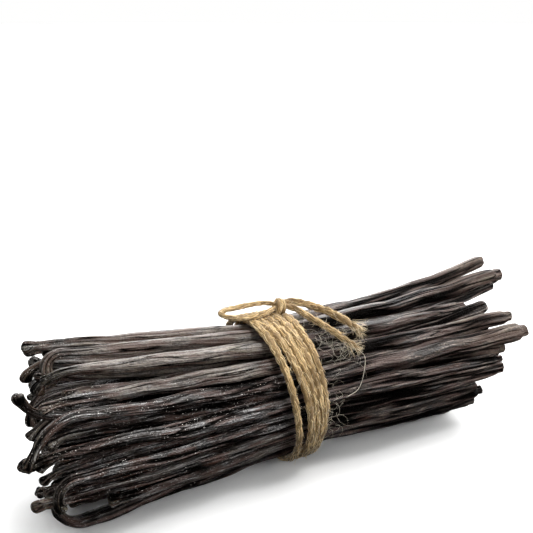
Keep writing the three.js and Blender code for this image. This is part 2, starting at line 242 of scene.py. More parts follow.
def make_backdrop():
    """A pale screen all round and above, far off, which the lights shine through."""
    turn = angles_round(BACKDROP_SIDES)
    ring = np.stack([np.cos(turn), np.sin(turn), 0 * turn], -1) * BACKDROP_RADIUS
    points = np.vstack([ring - (0, 0, 1), ring + (0, 0, BACKDROP_RADIUS)])
    here, after = np.arange(BACKDROP_SIDES), (np.arange(BACKDROP_SIDES) + 1) % BACKDROP_SIDES
    faces = np.stack([here, after, after + BACKDROP_SIDES, here + BACKDROP_SIDES], -1).tolist()
    faces.append(list(range(BACKDROP_SIDES, 2 * BACKDROP_SIDES)))
    finish = Finish(bpy.data.materials.new("backdrop"))
    glow = {"Emission_Color": BACKDROP_COLOUR, "Emission_Strength": 1.0}
    surface = finish.surface(Base_Color=NO_COLOUR, Roughness=1.0, Specular_IOR_Level=0.0, **glow)
    backdrop = set_stage("backdrop", points.tolist(), faces, surface)
    backdrop.visible_shadow = False


make_floor()
make_backdrop()
print("floor, and a backdrop", BACKDROP_RADIUS, "m off")

# %% sky and lights
BRIGHT_WAY = (0.475, 0.76, 0.44)    # towards the middle of the bright side of the sky
SKY_EDGE = (0.3, 0.95)              # cosines of the angle to it between which the sky brightens
SKY_DARK = 0.02
SKY_BRIGHT = 1.0
SOFT_LIGHTS = {
    # name: (degrees from +Y towards +X that it stands at, degrees high, degrees wide, strength)
    "back_light": (34, 32, 50, 3.6),
    "top_light": (107, 61, 44, 3.0),
    "front_light": (148, 22, 36, 0.85),
    "high_glint_light": (122, 56, 6, 0.5),
    "low_glint_light": (148, 26, 6, 0.35),
    "fill_light": (-140, 38, 30, 0.9),
    "tip_light": (90, 15, 30, 0.7),
    "stem_light": (-90, 15, 30, 0.4),
}


def make_sky():
    world = bpy.data.worlds.new("sky")
    sky = Finish(world)
    sockets = {0: sky.node("ShaderNodeTexCoord"), 1: BRIGHT_WAY}
    near = sky.node("ShaderNodeVectorMath", {"operation": "DOT_PRODUCT"}, sockets, out=1)
    colour = sky.mix(near.above(*SKY_EDGE), [SKY_DARK] * 3, [SKY_BRIGHT] * 3)
    background = sky.node("ShaderNodeBackground", None, {"Color": colour})
    output = sky.tree.nodes.new("ShaderNodeOutputWorld")
    sky.tree.links.new(background.socket, output.inputs["Surface"])
    bpy.context.scene.world = world


def make_soft_light(name, side, height, width, strength):
    data = bpy.data.lights.new(name, "SUN")
    data.angle = math.radians(width)
    data.energy = strength
    light = add_object(name, data)
    light.rotation_euler = (math.radians(90 - height), 0, math.radians(180 - side))


make_sky()
for light_name, light_values in SOFT_LIGHTS.items():
    make_soft_light(light_name, *light_values)
bpy.context.scene.view_settings.view_transform = "Standard"
print("sky and", len(SOFT_LIGHTS), "soft lights")

# %% [markdown]
# ## How the bundle is laid
# The pods could be placed by a rigid-body simulation, but then none of them would lie where a maker
# wants it. Here each pod has a place in one of four rings round the middle. Its two ends stray a
# little, and a good half of them are laid or curled one by one. Then they settle: at each of ten
# stations along the bundle, pods that are too close push each other apart, until they only touch.
# These are the same rules and the same numbers as the solids', so that the real pods lie in the
# solids' places.

# %% the bundle's shape, in millimetres from the tie
TIE_PLACE = np.array([-1.1, 0.6, 0.0])
TIE_RADIUS = 21.0
STEM_FLARE = 7.8        # how much its radius grows towards either end
TIP_FLARE = 3.2
FLARE_REACH = 58.0
TIE_LIFT = 2.4          # how far its middle line rises at the tie and sags at the ends
END_SAG = 1.9
SAG_REACH = 45.0


def bundle_radius(x):
    flare = np.where(x < 0, STEM_FLARE, TIP_FLARE)
    return TIE_RADIUS + flare * (1 - np.exp(-((x / FLARE_REACH) ** 2)))


def axis_height(x):
    return bundle_radius(x) - END_SAG + (TIE_LIFT + END_SAG) * np.exp(-((x / SAG_REACH) ** 2))


def over(*place):
    """Points over the pods: distance from the tie, degrees round, and height above the pods."""
    x, degrees, above = np.broadcast_arrays(*(np.asarray(value, float) for value in place))
    radius = bundle_radius(x) + above
    angle = np.radians(degrees)
    return np.stack([x, -radius * np.sin(angle), axis_height(x) + radius * np.cos(angle)], -1)


print("the bundle is", 2 * TIE_RADIUS, "mm across at the tie")

# %% the rings of pods
RINGS = 4
OUTER_COUNT = 20
COUNT_STEP = 5          # how many fewer pods each ring further in has
RING_PITCH = 5.0
RING_TWIST = 0.35       # of a place, from ring to ring
HALF_WIDTH = 3.1        # of a pod of size 1, in its middle
HALF_DEPTH = 2.5
WIDTH_ALONG = [
    # a share of its length, 0 at the stem, and a share of its width
    [0, 0.6], [0.03, 0.5], [0.1, 0.62], [0.25, 0.86], [0.5, 1],
    [0.7, 0.97], [0.88, 0.8], [0.97, 0.62], [1, 0.5],
]
ROUNDING = 0.3          # how much less the depth changes than the width
SEED = 7
SIZES = (0.88, 1.12)
STEM_ENDS = (64, 75)    # distances from the tie
TIP_ENDS = (70, 86)
STEM_OUT = (-1.5, 2)    # millimetres outwards
TIP_OUT = (-2, 2)
STEM_STRAY = 9          # degrees round the bundle
TIP_STRAY = 12
ROLL_STRAY = 0.5        # radians that a pod rolls
HOOK_BEND = (10, 75)
HOOK_LENGTH = (8, 14)
UNDERSIDE = 210         # degrees from which angles are counted backwards
FRONT = (-20, 150)
BACK_SHORTER = 10       # millimetres that a stem at the back is shorter
print(sum(OUTER_COUNT - COUNT_STEP * ring for ring in range(RINGS)), "places for pods")

# %% pods that are laid one by one
# by ring and place: for each end the degrees round the bundle, millimetres outwards and distance
# from the tie; the hook is the curl of the stem: degrees, the way it turns, and its length
LAID = {
    (0, 19): {"stem": (-18, 0.3, -70), "tip": (-8, 6, 84), "hook": (25, -40, 7), "size": 0.92},
    (1, 14): {"stem": (-8, 3, -71), "tip": (-14, 1, 80), "hook": (80, -95, 9)},
    (0, 0): {"stem": (6, 0.5, -69), "tip": (4, 2, 88), "hook": (165, -100, 11)},
    (1, 0): {"stem": (13, 2.5, -70), "tip": (13, 6.5, 82), "hook": (80, -95, 9)},
    (0, 1): {"stem": (24, 0, -68), "tip": (26, -1, 66), "hook": (60, -60, 9)},
    (1, 1): {"stem": (33, 4, -65), "tip": (30, 6.7, 73.5), "hook": (30, -120, 7)},
    (0, 2): {"stem": (47, 0.5, -73), "tip": (49, 0.5, 80), "hook": (25, -90, 7)},
    (2, 1): {"stem": (45, 7, -76), "tip": (50, 0, 76), "hook": (60, 95, 12)},
    (0, 3): {"stem": (55, 1.5, -70), "tip": (64, 2.3, 82.5), "hook": (90, -95, 20)},
    (1, 2): {"stem": (66, 4, -72), "tip": (75, 4.3, 75.5), "hook": (30, -90, 8)},
    (0, 4): {"stem": (76, 0.5, -76), "tip": (86, 0, 73), "hook": (50, -60, 8)},
    (2, 2): {"stem": (82, 6, -80), "tip": (80, 0, 70), "hook": (50, -140, 6)},
    (0, 5): {"stem": (92, 0.5, -74), "tip": (91, 0.5, 73), "hook": (140, -95, 11)},
    (1, 3): {"stem": (92, 2.5, -75), "tip": (96, 0.5, 70), "hook": (40, -90, 7)},
    (0, 6): {"stem": (106, 0, -77), "tip": (103, 0, 63.5), "hook": (30, -40, 8)},
    (1, 4): {"stem": (108, 2, -73), "tip": (114, 2, 66), "hook": (20, -140, 8)},
    (0, 7): {"stem": (121, 0, -58), "tip": (114, -1, 68), "hook": (20, 0, 6)},
    (0, 8): {"stem": (159, 3.5, -67.5), "tip": (130, -1, 68), "hook": (125, 88, 17)},
    (0, 9): {"stem": (186, 0, -63), "tip": (166, 1, 66), "hook": (20, 0, 6)},
    (0, 10): {"stem": (189, 0.5, -66), "tip": (198, 1.5, 70), "hook": (20, 0, 8)},
    (0, 11): {"stem": (202, 4, -68), "tip": (212, 0, 74), "hook": (25, 120, 8)},
    (1, 5): {"stem": (140, -1, -60), "tip": (140, 0, 68), "hook": (20, 0, 6)},
    (0, 14): {"hook": (60, 95, 13)},
    (0, 15): {"hook": (15, -100, 10)},
    (0, 17): {"hook": (12, -60, 11)},
    (2, 0): {"stem": (39, 0, -70), "hook": (60, -95, 12)},
    (2, 8): {"stem": (-30, 0, -69), "hook": (110, -95, 13)},
    (2, 9): {"stem": (12, 0, -70), "hook": (60, -95, 9)},
    (0, 12): {"hook": (20, 0, 16)},
}
print(len(LAID), "pods are laid or curled by hand")


# %% the pods' places
def draws(seed, multiplier=48271, modulus=2**31 - 1, warm_up=5):
    """The same small random source as the solids', so that both lay the pods alike."""
    state = seed

    def draw(between):
        nonlocal state
        state = (state * multiplier) % modulus
        return between[0] + (between[1] - between[0]) * state / modulus

    for _ in range(warm_up):
        draw((0, 1))
    return draw


def lay_pods():
    draw = draws(SEED)
    pods = []
    for ring in range(RINGS):
        count = OUTER_COUNT - COUNT_STEP * ring
        for place in range(count):
            angle = 360 * (place + 0.5 + RING_TWIST * ring) / count
            angle -= 360 if angle > UNDERSIDE else 0
            shorter = BACK_SHORTER if angle < FRONT[0] or angle > FRONT[1] else 0
            pod = {"ring": ring, "place": place, "angle": angle, "size": draw(SIZES)}
            pod["radius"] = TIE_RADIUS - HALF_DEPTH - ring * RING_PITCH
            stem_angle = angle + draw((-STEM_STRAY, STEM_STRAY))
            pod["stem"] = (stem_angle, draw(STEM_OUT), shorter - draw(STEM_ENDS))
            tip_angle = angle + draw((-TIP_STRAY, TIP_STRAY))
            pod["tip"] = (tip_angle, draw(TIP_OUT), draw(TIP_ENDS))
            pod["tilt"] = math.radians(angle) + draw((-ROLL_STRAY, ROLL_STRAY))
            pod["hook"] = (draw(HOOK_BEND), draw((-180, 180)), draw(HOOK_LENGTH))
            pod["by_hand"] = (ring, place) in LAID
            pod.update(LAID.get((ring, place), {}))
            pods.append(pod)
    return pods


PODS = lay_pods()
print(len(PODS), "pods have their places")

# %% how they settle against each other
STATIONS = np.array([-82, -62, -42, -24, -8, 8, 24, 46, 68, 90], float)
END_REACH = 82          # millimetres from the tie at which an end has strayed all its way
TURN_EASE = 1.2         # how late along the pod it strays round, and outwards
OUT_EASE = 2.5
OVERRUN = 0.12          # of a pod's length past its ends where it still pushes
ROUNDS = 120
SQUEEZE = 0.93          # pods give a little where they touch
PUSH = 0.55             # of the way apart, in one round
STIFFNESS = 0.25
LOOSE_HOLD = 0.04       # how firmly a pod keeps the place that it was given
LAID_HOLD = 0.35
HOLD_FROM = 30          # millimetres from the tie
TIED_REACH = 12
SINK = 0.6              # millimetres that the weight presses the lowest pods flat


def section(pod, share):
    """Half width and half depth at a share of the pod's length, 0 at the stem."""
    stops = np.array(WIDTH_ALONG)
    width = np.interp(share, stops[:, 0], stops[:, 1])
    scale = pod["size"]
    return HALF_WIDTH * scale * width, HALF_DEPTH * scale * (ROUNDING + (1 - ROUNDING) * width)


def reach(oval, tilt, y, z):
    """How far an oval reaches from its middle in the direction (y, z)."""
    along = np.abs(y * np.cos(tilt) + z * np.sin(tilt))
    return np.sqrt((oval[0] * along) ** 2 + oval[1] ** 2 * (1 - along**2))


def push_apart(at, laid, oval, tilt, there, hold):
    apart = at[:, :, None] - at[:, None, :]
    distance = np.hypot(apart[..., 0], apart[..., 1]) + np.eye(at.shape[1])
    way = apart / distance[..., None]
    mine = reach(oval[..., :, None], tilt[:, :, None], way[..., 0], way[..., 1])
    theirs = reach(oval[..., None, :], tilt[:, None, :], way[..., 0], way[..., 1])
    push = np.maximum((mine + theirs) * SQUEEZE - distance, 0) / 2 * PUSH
    push *= there[:, :, None] & there[:, None, :]
    at += (way * push[..., None]).sum(2) * (1 - hold)[..., None]
    at += (laid - at) * hold[..., None]


def confine(at, oval, tilt):
    """The table is below, and the twine holds the pods round the tie."""
    at[..., 1] = np.maximum(at[..., 1], reach(oval, tilt, 0, 1) - SINK)
    height = axis_height(STATIONS)[:, None]
    radius = np.hypot(at[..., 0], at[..., 1] - height)
    y, z = at[..., 0] / radius, (at[..., 1] - height) / radius
    outside = np.maximum(radius + reach(oval, tilt, y, z) - TIE_RADIUS, 0)
    outside *= (np.abs(STATIONS) <= TIED_REACH)[:, None]
    at[..., 0] -= y * outside
    at[..., 1] -= z * outside


print("they settle in", ROUNDS, "rounds at", len(STATIONS), "stations")


# %% the pods settle
def settle(pods):
    """The middle of each pod, as (y, z), at each station."""
    x = STATIONS[:, None]
    stem, tip = (np.array([pod[end] for pod in pods]) for end in ("stem", "tip"))
    end = np.where(x[..., None] < 0, stem, tip)
    share = np.abs(x) / END_REACH
    own = np.array([pod["angle"] for pod in pods])
    angle = np.radians(own + (end[..., 0] - own) * share**TURN_EASE)
    radius = np.array([pod["radius"] for pod in pods]) * bundle_radius(x) / TIE_RADIUS
    radius = radius + end[..., 1] * share**OUT_EASE
    laid = np.stack([-radius * np.sin(angle), axis_height(x) + radius * np.cos(angle)], -1)
    along = (x - stem[:, 2]) / (tip[:, 2] - stem[:, 2])
    ovals = [section(pod, along[:, k]) for k, pod in enumerate(pods)]
    oval = np.moveaxis(np.array(ovals), 0, -1)
    tilt = np.broadcast_to([pod["tilt"] for pod in pods], along.shape)
    there = (along > -OVERRUN) & (along < 1 + OVERRUN)
    by_hand = np.array([pod["by_hand"] for pod in pods])
    hold = np.where(by_hand & (np.abs(x) > HOLD_FROM), LAID_HOLD, LOOSE_HOLD)
    at = laid.copy()
    for _ in range(ROUNDS):
        push_apart(at, laid, oval, tilt, there, hold)
        straight = (at[:-2] + at[2:]) / 2
        at[1:-1] += STIFFNESS * (straight - at[1:-1])
        confine(at, oval, tilt)
    return at


MIDDLES = settle(PODS)
print("settled; lowest middle", round(float(MIDDLES[..., 1].min()), 2), "mm")

# %% a few more stems between them
# The pods further in show only their stems. These stand where the light would shine through.
INNER_STEMS = [
    # degrees round the bundle, millimetres from its axis, distance from the tie
    (14, 19, -71), (65, 7.5, -69), (84, 9.5, -72), (111, 11.4, -70), (132, 14, -70.5),
    (105, 10, -67), (40, 11, -66), (150, 9, -65), (20, 6, -64), (88, 3, -66),
]
INNER_SIZE = 0.95
INNER_ROLL = 0.9        # radians, from one to the next
INNER_TIP = 80          # where the tip would be, which is not made
INNER_HOOK = (35, 70, 6)    # degrees, degrees round from one to the next, and length


def inner_stem(place, degrees, radius, end):
    """A pod of which only the stem is made, and its middle at each station."""
    bend, round_step, length = INNER_HOOK
    pod = {"ring": RINGS, "place": place, "size": INNER_SIZE, "tilt": INNER_ROLL * place}
    pod["stem"] = (degrees, 0, end)
    pod["tip"] = (degrees, 0, INNER_TIP)
    pod["hook"] = (bend, round_step * place, length)
    far = radius * bundle_radius(STATIONS) / bundle_radius(end)
    angle = math.radians(degrees)
    y, z = -far * math.sin(angle), axis_height(STATIONS) + far * math.cos(angle)
    return pod, np.stack([y, z], -1)


for place, values in enumerate(INNER_STEMS):
    pod, at = inner_stem(place, *values)
    PODS.append(pod)
    MIDDLES = np.concatenate([MIDDLES, at[:, None]], 1)
print(len(INNER_STEMS), "more stems")

# %% [markdown]
# ## One pod
# A cured pod is a flattened tube about 6 mm wide. It narrows towards the stem, which ends in a
# curled, gnarled neck with a small knob where it was picked, and it ends bluntly at the blossom
# tip. In drying the skin shrinks into long folds that run from end to end, part and meet again.
# Displacing a plain tube in the material would be quickest, but the export and the silhouette would
# lose the folds. So the folds are in the mesh: noise that is stretched along the pod, read on a
# drum so that it closes round the pod without a seam.


# %% lines and the ways across them
def unit(vector):
    return vector / np.linalg.norm(vector)


def frames(line, side):
    """For each point of a line: the way it heads, and two directions across, never twisting."""
    heading = np.gradient(line, axis=0)
    heading /= np.linalg.norm(heading, axis=1)[:, None]
    across = np.empty_like(line)
    for k, ahead in enumerate(heading):
        side = unit(side - ahead * (side @ ahead))
        across[k] = side
    return heading, across, np.cross(heading, across)


def evenly(line, places, *others):
    """The line, and values that go with it, read at these distances along it."""
    run = np.append(0, np.cumsum(np.linalg.norm(np.diff(line, axis=0), axis=1)))
    points = np.stack([np.interp(places, run, line[:, axis]) for axis in range(3)], -1)
    return points, [np.interp(places, run, other) for other in others]


def run_of(line):
    return float(np.linalg.norm(np.diff(line, axis=0), axis=1).sum())


print("a line across a unit box is", round(run_of(np.array([[0, 0, 0], [1, 1, 1.0]])), 3), "long")


# %% the middle line of a pod
def through_stations(values, x):
    """A smooth curve through the values at the stations."""
    k = np.clip(np.searchsorted(STATIONS, x) - 1, 0, len(STATIONS) - 2)
    low = np.maximum(np.arange(len(STATIONS)) - 1, 0)
    high = np.minimum(np.arange(len(STATIONS)) + 1, len(STATIONS) - 1)
    slope = (values[high] - values[low]) / (STATIONS[high] - STATIONS[low])
    span = STATIONS[k + 1] - STATIONS[k]
    t = (x - STATIONS[k]) / span
    start = (2 * t**3 - 3 * t**2 + 1) * values[k] + (t**3 - 2 * t**2 + t) * span * slope[k]
    return start + (3 * t**2 - 2 * t**3) * values[k + 1] + (t**3 - t**2) * span * slope[k + 1]


def add_hook(pod, line, share, steps=24, run_up=12):
    bend, way, length = pod["hook"]
    heading = unit(line[-1] - line[-1 - run_up])
    aside = np.array([0, math.cos(math.radians(way)), math.sin(math.radians(way))])
    aside = unit(aside - heading * (aside @ heading))
    turn = math.radians(bend) * (np.arange(steps) + 0.5) / steps
    step = np.cos(turn)[:, None] * heading + np.sin(turn)[:, None] * aside
    hook = line[-1] + np.cumsum(step, 0) * length / steps
    left = share[-1] * (1 - (np.arange(steps) + 1) / steps)
    return np.vstack([line, hook]), np.append(share, left)


def pod_line(pod, index, start, end, fine=0.5, fewest=8):
    """Points from x = start to x = end, and on round the hook where that end is the stem's."""
    x = np.linspace(start, end, max(int(abs(end - start) / fine), fewest))
    line = np.stack([x, *(through_stations(MIDDLES[:, index, axis], x) for axis in (0, 1))], -1)
    length = pod["hook"][2]
    share = (x - pod["stem"][2] + length) / (pod["tip"][2] - pod["stem"][2] + length)
    if end != pod["stem"][2]:
        return line, share
    return add_hook(pod, line, share)


trial, _ = pod_line(PODS[0], 0, PODS[0]["tip"][2], PODS[0]["stem"][2])
print("the first pod is", round(run_of(trial), 1), "mm along its curve")

# %% noise that the mesh can be shaped with
LATTICE = 256
dice = np.random.default_rng(SEED)
SHUFFLE = dice.permutation(LATTICE)
SLOPES = dice.normal(size=(LATTICE, 3))
SLOPES /= np.linalg.norm(SLOPES, axis=1)[:, None]


def hills(points):
    """Smooth hills and hollows, between about -0.7 and 0.7, one to each unit of the points."""
    cell = np.floor(points).astype(int)
    part = points - cell
    fade = part**3 * (part * (part * 6 - 15) + 10)
    total = np.zeros(points.shape[:-1])
    for corner in product((0, 1), repeat=3):
        key = np.zeros(points.shape[:-1], int)
        for axis in range(3):
            key = SHUFFLE[(key + cell[..., axis] + corner[axis]) % LATTICE]
        height = (SLOPES[key] * (part - corner)).sum(-1)
        weight = np.where(corner, fade, 1 - fade).prod(-1)
        total += weight * height
    return total


print("noise from", round(float(hills(dice.uniform(0, 99, (5000, 3))).min()), 2))

# %% the folds of the skin
FOLDS = {
    # name: (number round a pod, millimetres along before it parts, depth in millimetres, sharpness)
    "trough": (5, 48.0, 0.75, 1.0),
    "fold": (12, 24.0, 0.55, 0.8),
    "crease": (26, 9.0, 0.20, 0.8),
}
FOLD_SHIFT = 37         # in the noise, from one of them to the next
HILL_HEIGHT = 0.32      # of the noise, where a fold's side ends
STRENGTH = (0.75, 0.9)  # how strong a fold is, and how much that changes
STRENGTH_AT = (2, 25.0, 120)    # how often it changes round, over what length, and its shift
SWELL = (3, 11.0, 90)   # the soft lumps of the seeds inside: number round, length, shift
SWELL_DEPTH = 0.35
MEANDER = 0.35          # radians that the folds wander round the pod
MEANDER_RUN = 31.0
DRIFT = 0.012           # radians for each millimetre that they turn round the pod, at most
WHOLE_FOLD = 0.9        # millimetres of depth that count as a whole fold


def clamp(value):
    return np.clip(value, 0, 1)


def on_drum(angle, along, count, run, where):
    """Noise places on a drum, with this many hills round it and one for each run along it."""
    radius = count / (2 * math.pi)
    place = np.stack([radius * np.cos(angle), radius * np.sin(angle), along / run], -1)
    return place + where


def skin(angle, along, where):
    """How far the skin sinks in, in millimetres, and how deep in a fold each point is, 0 to 1."""
    wave = MEANDER * np.sin(along / MEANDER_RUN + where[0])
    angle = angle + wave + DRIFT * along * np.sin(where[1])
    count, run, shift = SWELL
    sunk = -SWELL_DEPTH * hills(on_drum(angle, along, count, run, where + shift))
    fold = 0
    for step, (count, run, depth, sharp) in enumerate(FOLDS.values()):
        height = np.abs(hills(on_drum(angle, along, count, run, where + FOLD_SHIFT * step)))
        low = 1 - np.minimum(height / HILL_HEIGHT, 1) ** sharp
        count, run, shift = STRENGTH_AT
        changing = hills(on_drum(angle, along, count, run, where + shift + step))
        strong = STRENGTH[0] + STRENGTH[1] * changing
        sunk = sunk + depth * strong * low
        fold = fold + depth * strong * low
    return sunk, clamp(fold / WHOLE_FOLD)


print("folds about", round(2 * math.pi * HALF_WIDTH / FOLDS["fold"][0], 1), "mm apart")

# %% how dry and how broad each pod is
# by ring and place: its dryness at the stem and at the tip, from 0, black and oily, to 1, dull
# taupe; how broad its tip is, over how many millimetres that is rounded, and how much of its
# width it loses just before its end
# the pods on top, (0, 19), (1, 14), (0, 0), (1, 0) and (0, 1), have dry, pale stems that are partly
# painted sheen of the light from above and behind
LOOKS = {
    (0, 19): (1.1, 0.85, 1.3, 2.4, 0.0), (1, 14): (0.9, 0.5, 1.0, 1.6, 0.1),
    (0, 0): (1.2, 1.3, 1.5, 0.9, 0.2), (1, 0): (1.0, 0.2, 0.75, 1.2, 0.0),
    (0, 1): (1.2, 0.3, 1.0, 1.6, 0.1), (1, 1): (0.6, 0.1, 1.15, 2.6, 0.0),
    (0, 2): (0.65, 0.75, 1.3, 1.0, 0.25), (2, 1): (0.5, 0.5, 1.0, 1.4, 0.1),
    (0, 3): (0.1, 0.9, 1.45, 0.9, 0.33), (1, 2): (0.1, 0.8, 1.3, 1.2, 0.3),
    (0, 4): (0.05, 0.1, 1.0, 0.9, 0.4), (0, 5): (0.15, 0.5, 1.2, 1.6, 0.1),
    (1, 3): (0.25, 0.4, 1.0, 1.4, 0.2), (0, 6): (0.35, 0.4, 1.1, 1.6, 0.2),
    (1, 4): (0.3, 0.3, 1.0, 1.4, 0.1), (0, 7): (0.4, 0.3, 1.1, 1.2, 0.35),
    (0, 8): (0.2, 0.3, 1.0, 1.4, 0.1), (0, 9): (0.1, 0.3, 1.0, 1.4, 0.1),
    (0, 10): (0.1, 0.3, 1.0, 1.4, 0.1), (0, 11): (0.1, 0.3, 1.0, 1.4, 0.1),
}
PLAIN_LOOK = (0.15, 0.2, 1.1, 1.0, 0.0)     # of the others, where their tone is 0
PLAIN_RANGE = (0.5, 0.5, 0.0, 1.0, 0.3)     # what a tone of 1 would add to it
GOLDEN = 0.618          # steps of this size spread evenly between 0 and 1
DRY_STOPS = (0.06, 0.14, 0.45, 0.6, 0.78, 0.95)     # shares of a pod's length, from the stem
END_DRYNESS = 0.2       # how much of the stem's dryness its very end has
MIDDLE_DRYNESS = 0.15
BROAD_STOPS = (0.6, 0.95)


def tone_of(index):
    """A number of a pod's own, from 0 to 1."""
    return (index * GOLDEN) % 1


def look_of(pod, index):
    plain = [low + span * tone_of(index) for low, span in zip(PLAIN_LOOK, PLAIN_RANGE)]
    return LOOKS.get((pod["ring"], pod["place"]), plain)


def dry_and_broad(look, share):
    """How dry and how broad a pod is at shares of its length."""
    stem, tip, broad = look[:3]
    dryness = (stem * END_DRYNESS, stem, stem, MIDDLE_DRYNESS, MIDDLE_DRYNESS, tip)
    return np.interp(share, DRY_STOPS, dryness), np.interp(share, BROAD_STOPS, (1, broad))


print(len(LOOKS), "pods have looks of their own")

# %% the ends of a pod
END_ROUND = 1.2         # millimetres over which an end is rounded off
END_STEPS = 5
FIRST_TURN = 12         # degrees of that rounding at the very end, which stays a small flat
FEWEST = 12             # places between the two rounded ends, at least, with both ends counted
KNOB = (0.22, 1.4, 1.5)     # the stem's: how much wider, how far from the end, over what length
FLARE = (0.14, 0.6, 1.4)    # the rim of the blossom tip, in the same way
BLUNT = (0.25, 0.0, 12.0)   # the tip keeps its width almost to its end
NECK = 3.2              # millimetres of the tip that may be narrower
NECK_SHARP = 4          # how suddenly that begins
SLANT = 0.55            # how far the cut of a tip leans, at most
SLANT_RUN = 2.6
SLANT_TURN = 2.4        # radians, from one pod to the next
NECK_UPRIGHT = 2.5      # how much less a tip with a neck leans
GNARL = (1.0, 3.0, 15)  # lumps of the stem: height, length, and how far they reach from its end
TIP_GNARL = (0.5, 3.5, 8)
GNARL_ROUND = 4         # lumps round a pod
GNARL_SHIFT = 200       # in the noise
TIP_GNARL_SHIFT = 230


def swelling(distance, much, place, length):
    return 1 + much * np.exp(-(((distance - place) / length) ** 2))


def pod_places(length, spacing, first_round):
    """Distances along a pod, closer together where its ends round off."""
    turn = np.radians(np.linspace(FIRST_TURN, 90, END_STEPS))
    cap = 1 - np.cos(turn)
    count = max(int(length / spacing), FEWEST)
    body = np.linspace(first_round, length - END_ROUND, count)[1:-1]
    places = np.concatenate([first_round * cap, body, length - END_ROUND * cap[::-1]])
    thin = np.concatenate([np.sin(turn), np.ones(len(body)), np.sin(turn[::-1])])
    return places, thin


def shape_tip(thin, places, neck, index):
    """The thickness of a flared, blunt tip that may have a neck, and how far its cut leans."""
    thin = thin * swelling(places, *FLARE) * swelling(places, *BLUNT)
    thin = thin * (1 - neck / (1 + np.exp(NECK_SHARP * (places - NECK))))
    lean = SLANT * (1 - NECK_UPRIGHT * neck) * math.sin(SLANT_TURN * index)
    return thin, lean * clamp(1 - places / SLANT_RUN)


def lumps(angle, along, where, shape, far):
    """Lumps that fade out with the distance from an end."""
    height, length, fade = shape
    hill = hills(on_drum(angle, along, GNARL_ROUND, length, where))
    return height * hill * clamp(1 - far / fade)


print("a pod has", len(pod_places(150.0, 1.0, END_ROUND)[0]), "rings of points or so")

# %% the skin of one pod
NARROW = 2.0            # millimetres of half width below which the folds get shallower
DRY_RELIEF = 0.5        # how much shallower they are on the driest skin
SQUARENESS = 0.8        # below 1 a pod is flatter on its sides than an oval
WANDER = 0.8            # millimetres that a pod strays from its middle line
WANDER_RUN = 14.0
WANDER_FROM = 12        # millimetres from its ends, nearer to which it strays less
GIRTH = 0.22            # how far its width changes along it
GIRTH_RUN = 17.0
STRAY_SHIFT = 7         # in the noise, from one of a pod's ways to stray to the next
POD_SHIFT = np.array([37.1, 11.3, 71.9])    # from one pod to the next


def squarer(value):
    return np.sign(value) * np.abs(value) ** SQUARENESS


def strays(places, where):
    """How far a pod strays to two sides, and how its girth changes, at each place."""
    for k, run in enumerate((WANDER_RUN, WANDER_RUN, GIRTH_RUN)):
        yield hills(np.stack([0 * places, 0 * places + STRAY_SHIFT * k, places / run], -1) + where)


def pod_skin(pod, index, start, end, sides, spacing):
    """Rings of points round a pod, with what the finish needs to know at each of them."""
    line, share = pod_line(pod, index, start, end)
    length = run_of(line)
    has_tip = start == pod["tip"][2]
    look = look_of(pod, index)
    rounding, neck = look[3:]
    places, thin = pod_places(length, spacing, rounding if has_tip else END_ROUND)
    points, (share,) = evenly(line, places, share)
    flat = np.array([0, math.cos(pod["tilt"]), math.sin(pod["tilt"])])
    heading, across, up = frames(points, flat)
    where = POD_SHIFT * (index + 1) % LATTICE
    aside, above, girth = strays(places, where)
    free = WANDER * clamp(np.minimum(places, length - places) / WANDER_FROM)[:, None]
    points = points + free * (aside[:, None] * across + above[:, None] * up)
    dryness, broad = dry_and_broad(look, share)
    thin = thin * (1 + GIRTH * girth) * broad
    lean = 0 * places
    if has_tip:
        thin, lean = shape_tip(thin, places, neck, index)
    if end == pod["stem"][2]:
        thin = thin * swelling(length - places, *KNOB)
    wide, deep = (half[:, None] * thin[:, None] for half in section(pod, share))
    along = np.broadcast_to(places[:, None], (len(places), sides))
    angle = np.broadcast_to(angles_round(sides)[None, :], along.shape)
    relief = 1 - DRY_RELIEF * clamp(dryness)[:, None]
    sunk, fold = (relief * value for value in skin(angle, along, where))
    room = clamp(deep / NARROW)
    sunk = sunk * room + lumps(angle, along, where + GNARL_SHIFT, GNARL, length - along)
    if has_tip:
        sunk = sunk + lumps(angle, along, where + TIP_GNARL_SHIFT, TIP_GNARL, along)
    around = squarer(np.cos(angle)) * (wide - sunk), squarer(np.sin(angle)) * (deep - sunk)
    steps = zip((across, up, heading), (*around, lean[:, None] * around[0]))
    shape = points[:, None] + sum(way[:, None] * far[..., None] for way, far in steps)
    carried = {
        "skin": np.stack([np.cos(angle) * wide, np.sin(angle) * deep, along], -1) + where,
        "fold": fold * room,
        "share": np.broadcast_to(share[:, None], along.shape),
        "tone": np.full(along.shape, tone_of(index)),
        "dryness": np.broadcast_to(dryness[:, None], along.shape),
    }
    return shape, carried


sample, _ = pod_skin(PODS[0], 0, PODS[0]["tip"][2], PODS[0]["stem"][2], 16, 4.0)
print("a coarse pod has", sample.shape[0], "rings")

# %% [markdown]
# ## Many tubes in one mesh
# Fifty objects would be slow to handle, and particles are lost in an export. So all pods of a kind
# are one mesh of closed tubes. Each tube brings its own cells of the texture map, and the values
# that the finish reads are stored on the points.

# %% the faces of a tube, and their places in the texture map
CELL_GAP = 0.04         # share of a cell of the map that is left free at each side


def tube_faces(first, rings, sides):
    """Quads round a tube, and one flat face at each end."""
    ring = first + np.arange(rings - 1)[:, None] * sides
    here, after = np.arange(sides), (np.arange(sides) + 1) % sides
    quads = np.stack([ring + here, ring + sides + here, ring + sides + after, ring + after], -1)
    start = list(range(first, first + sides))
    stop = list(range(first + (rings - 1) * sides, first + rings * sides))[::-1]
    return quads.reshape(-1, 4), start, stop


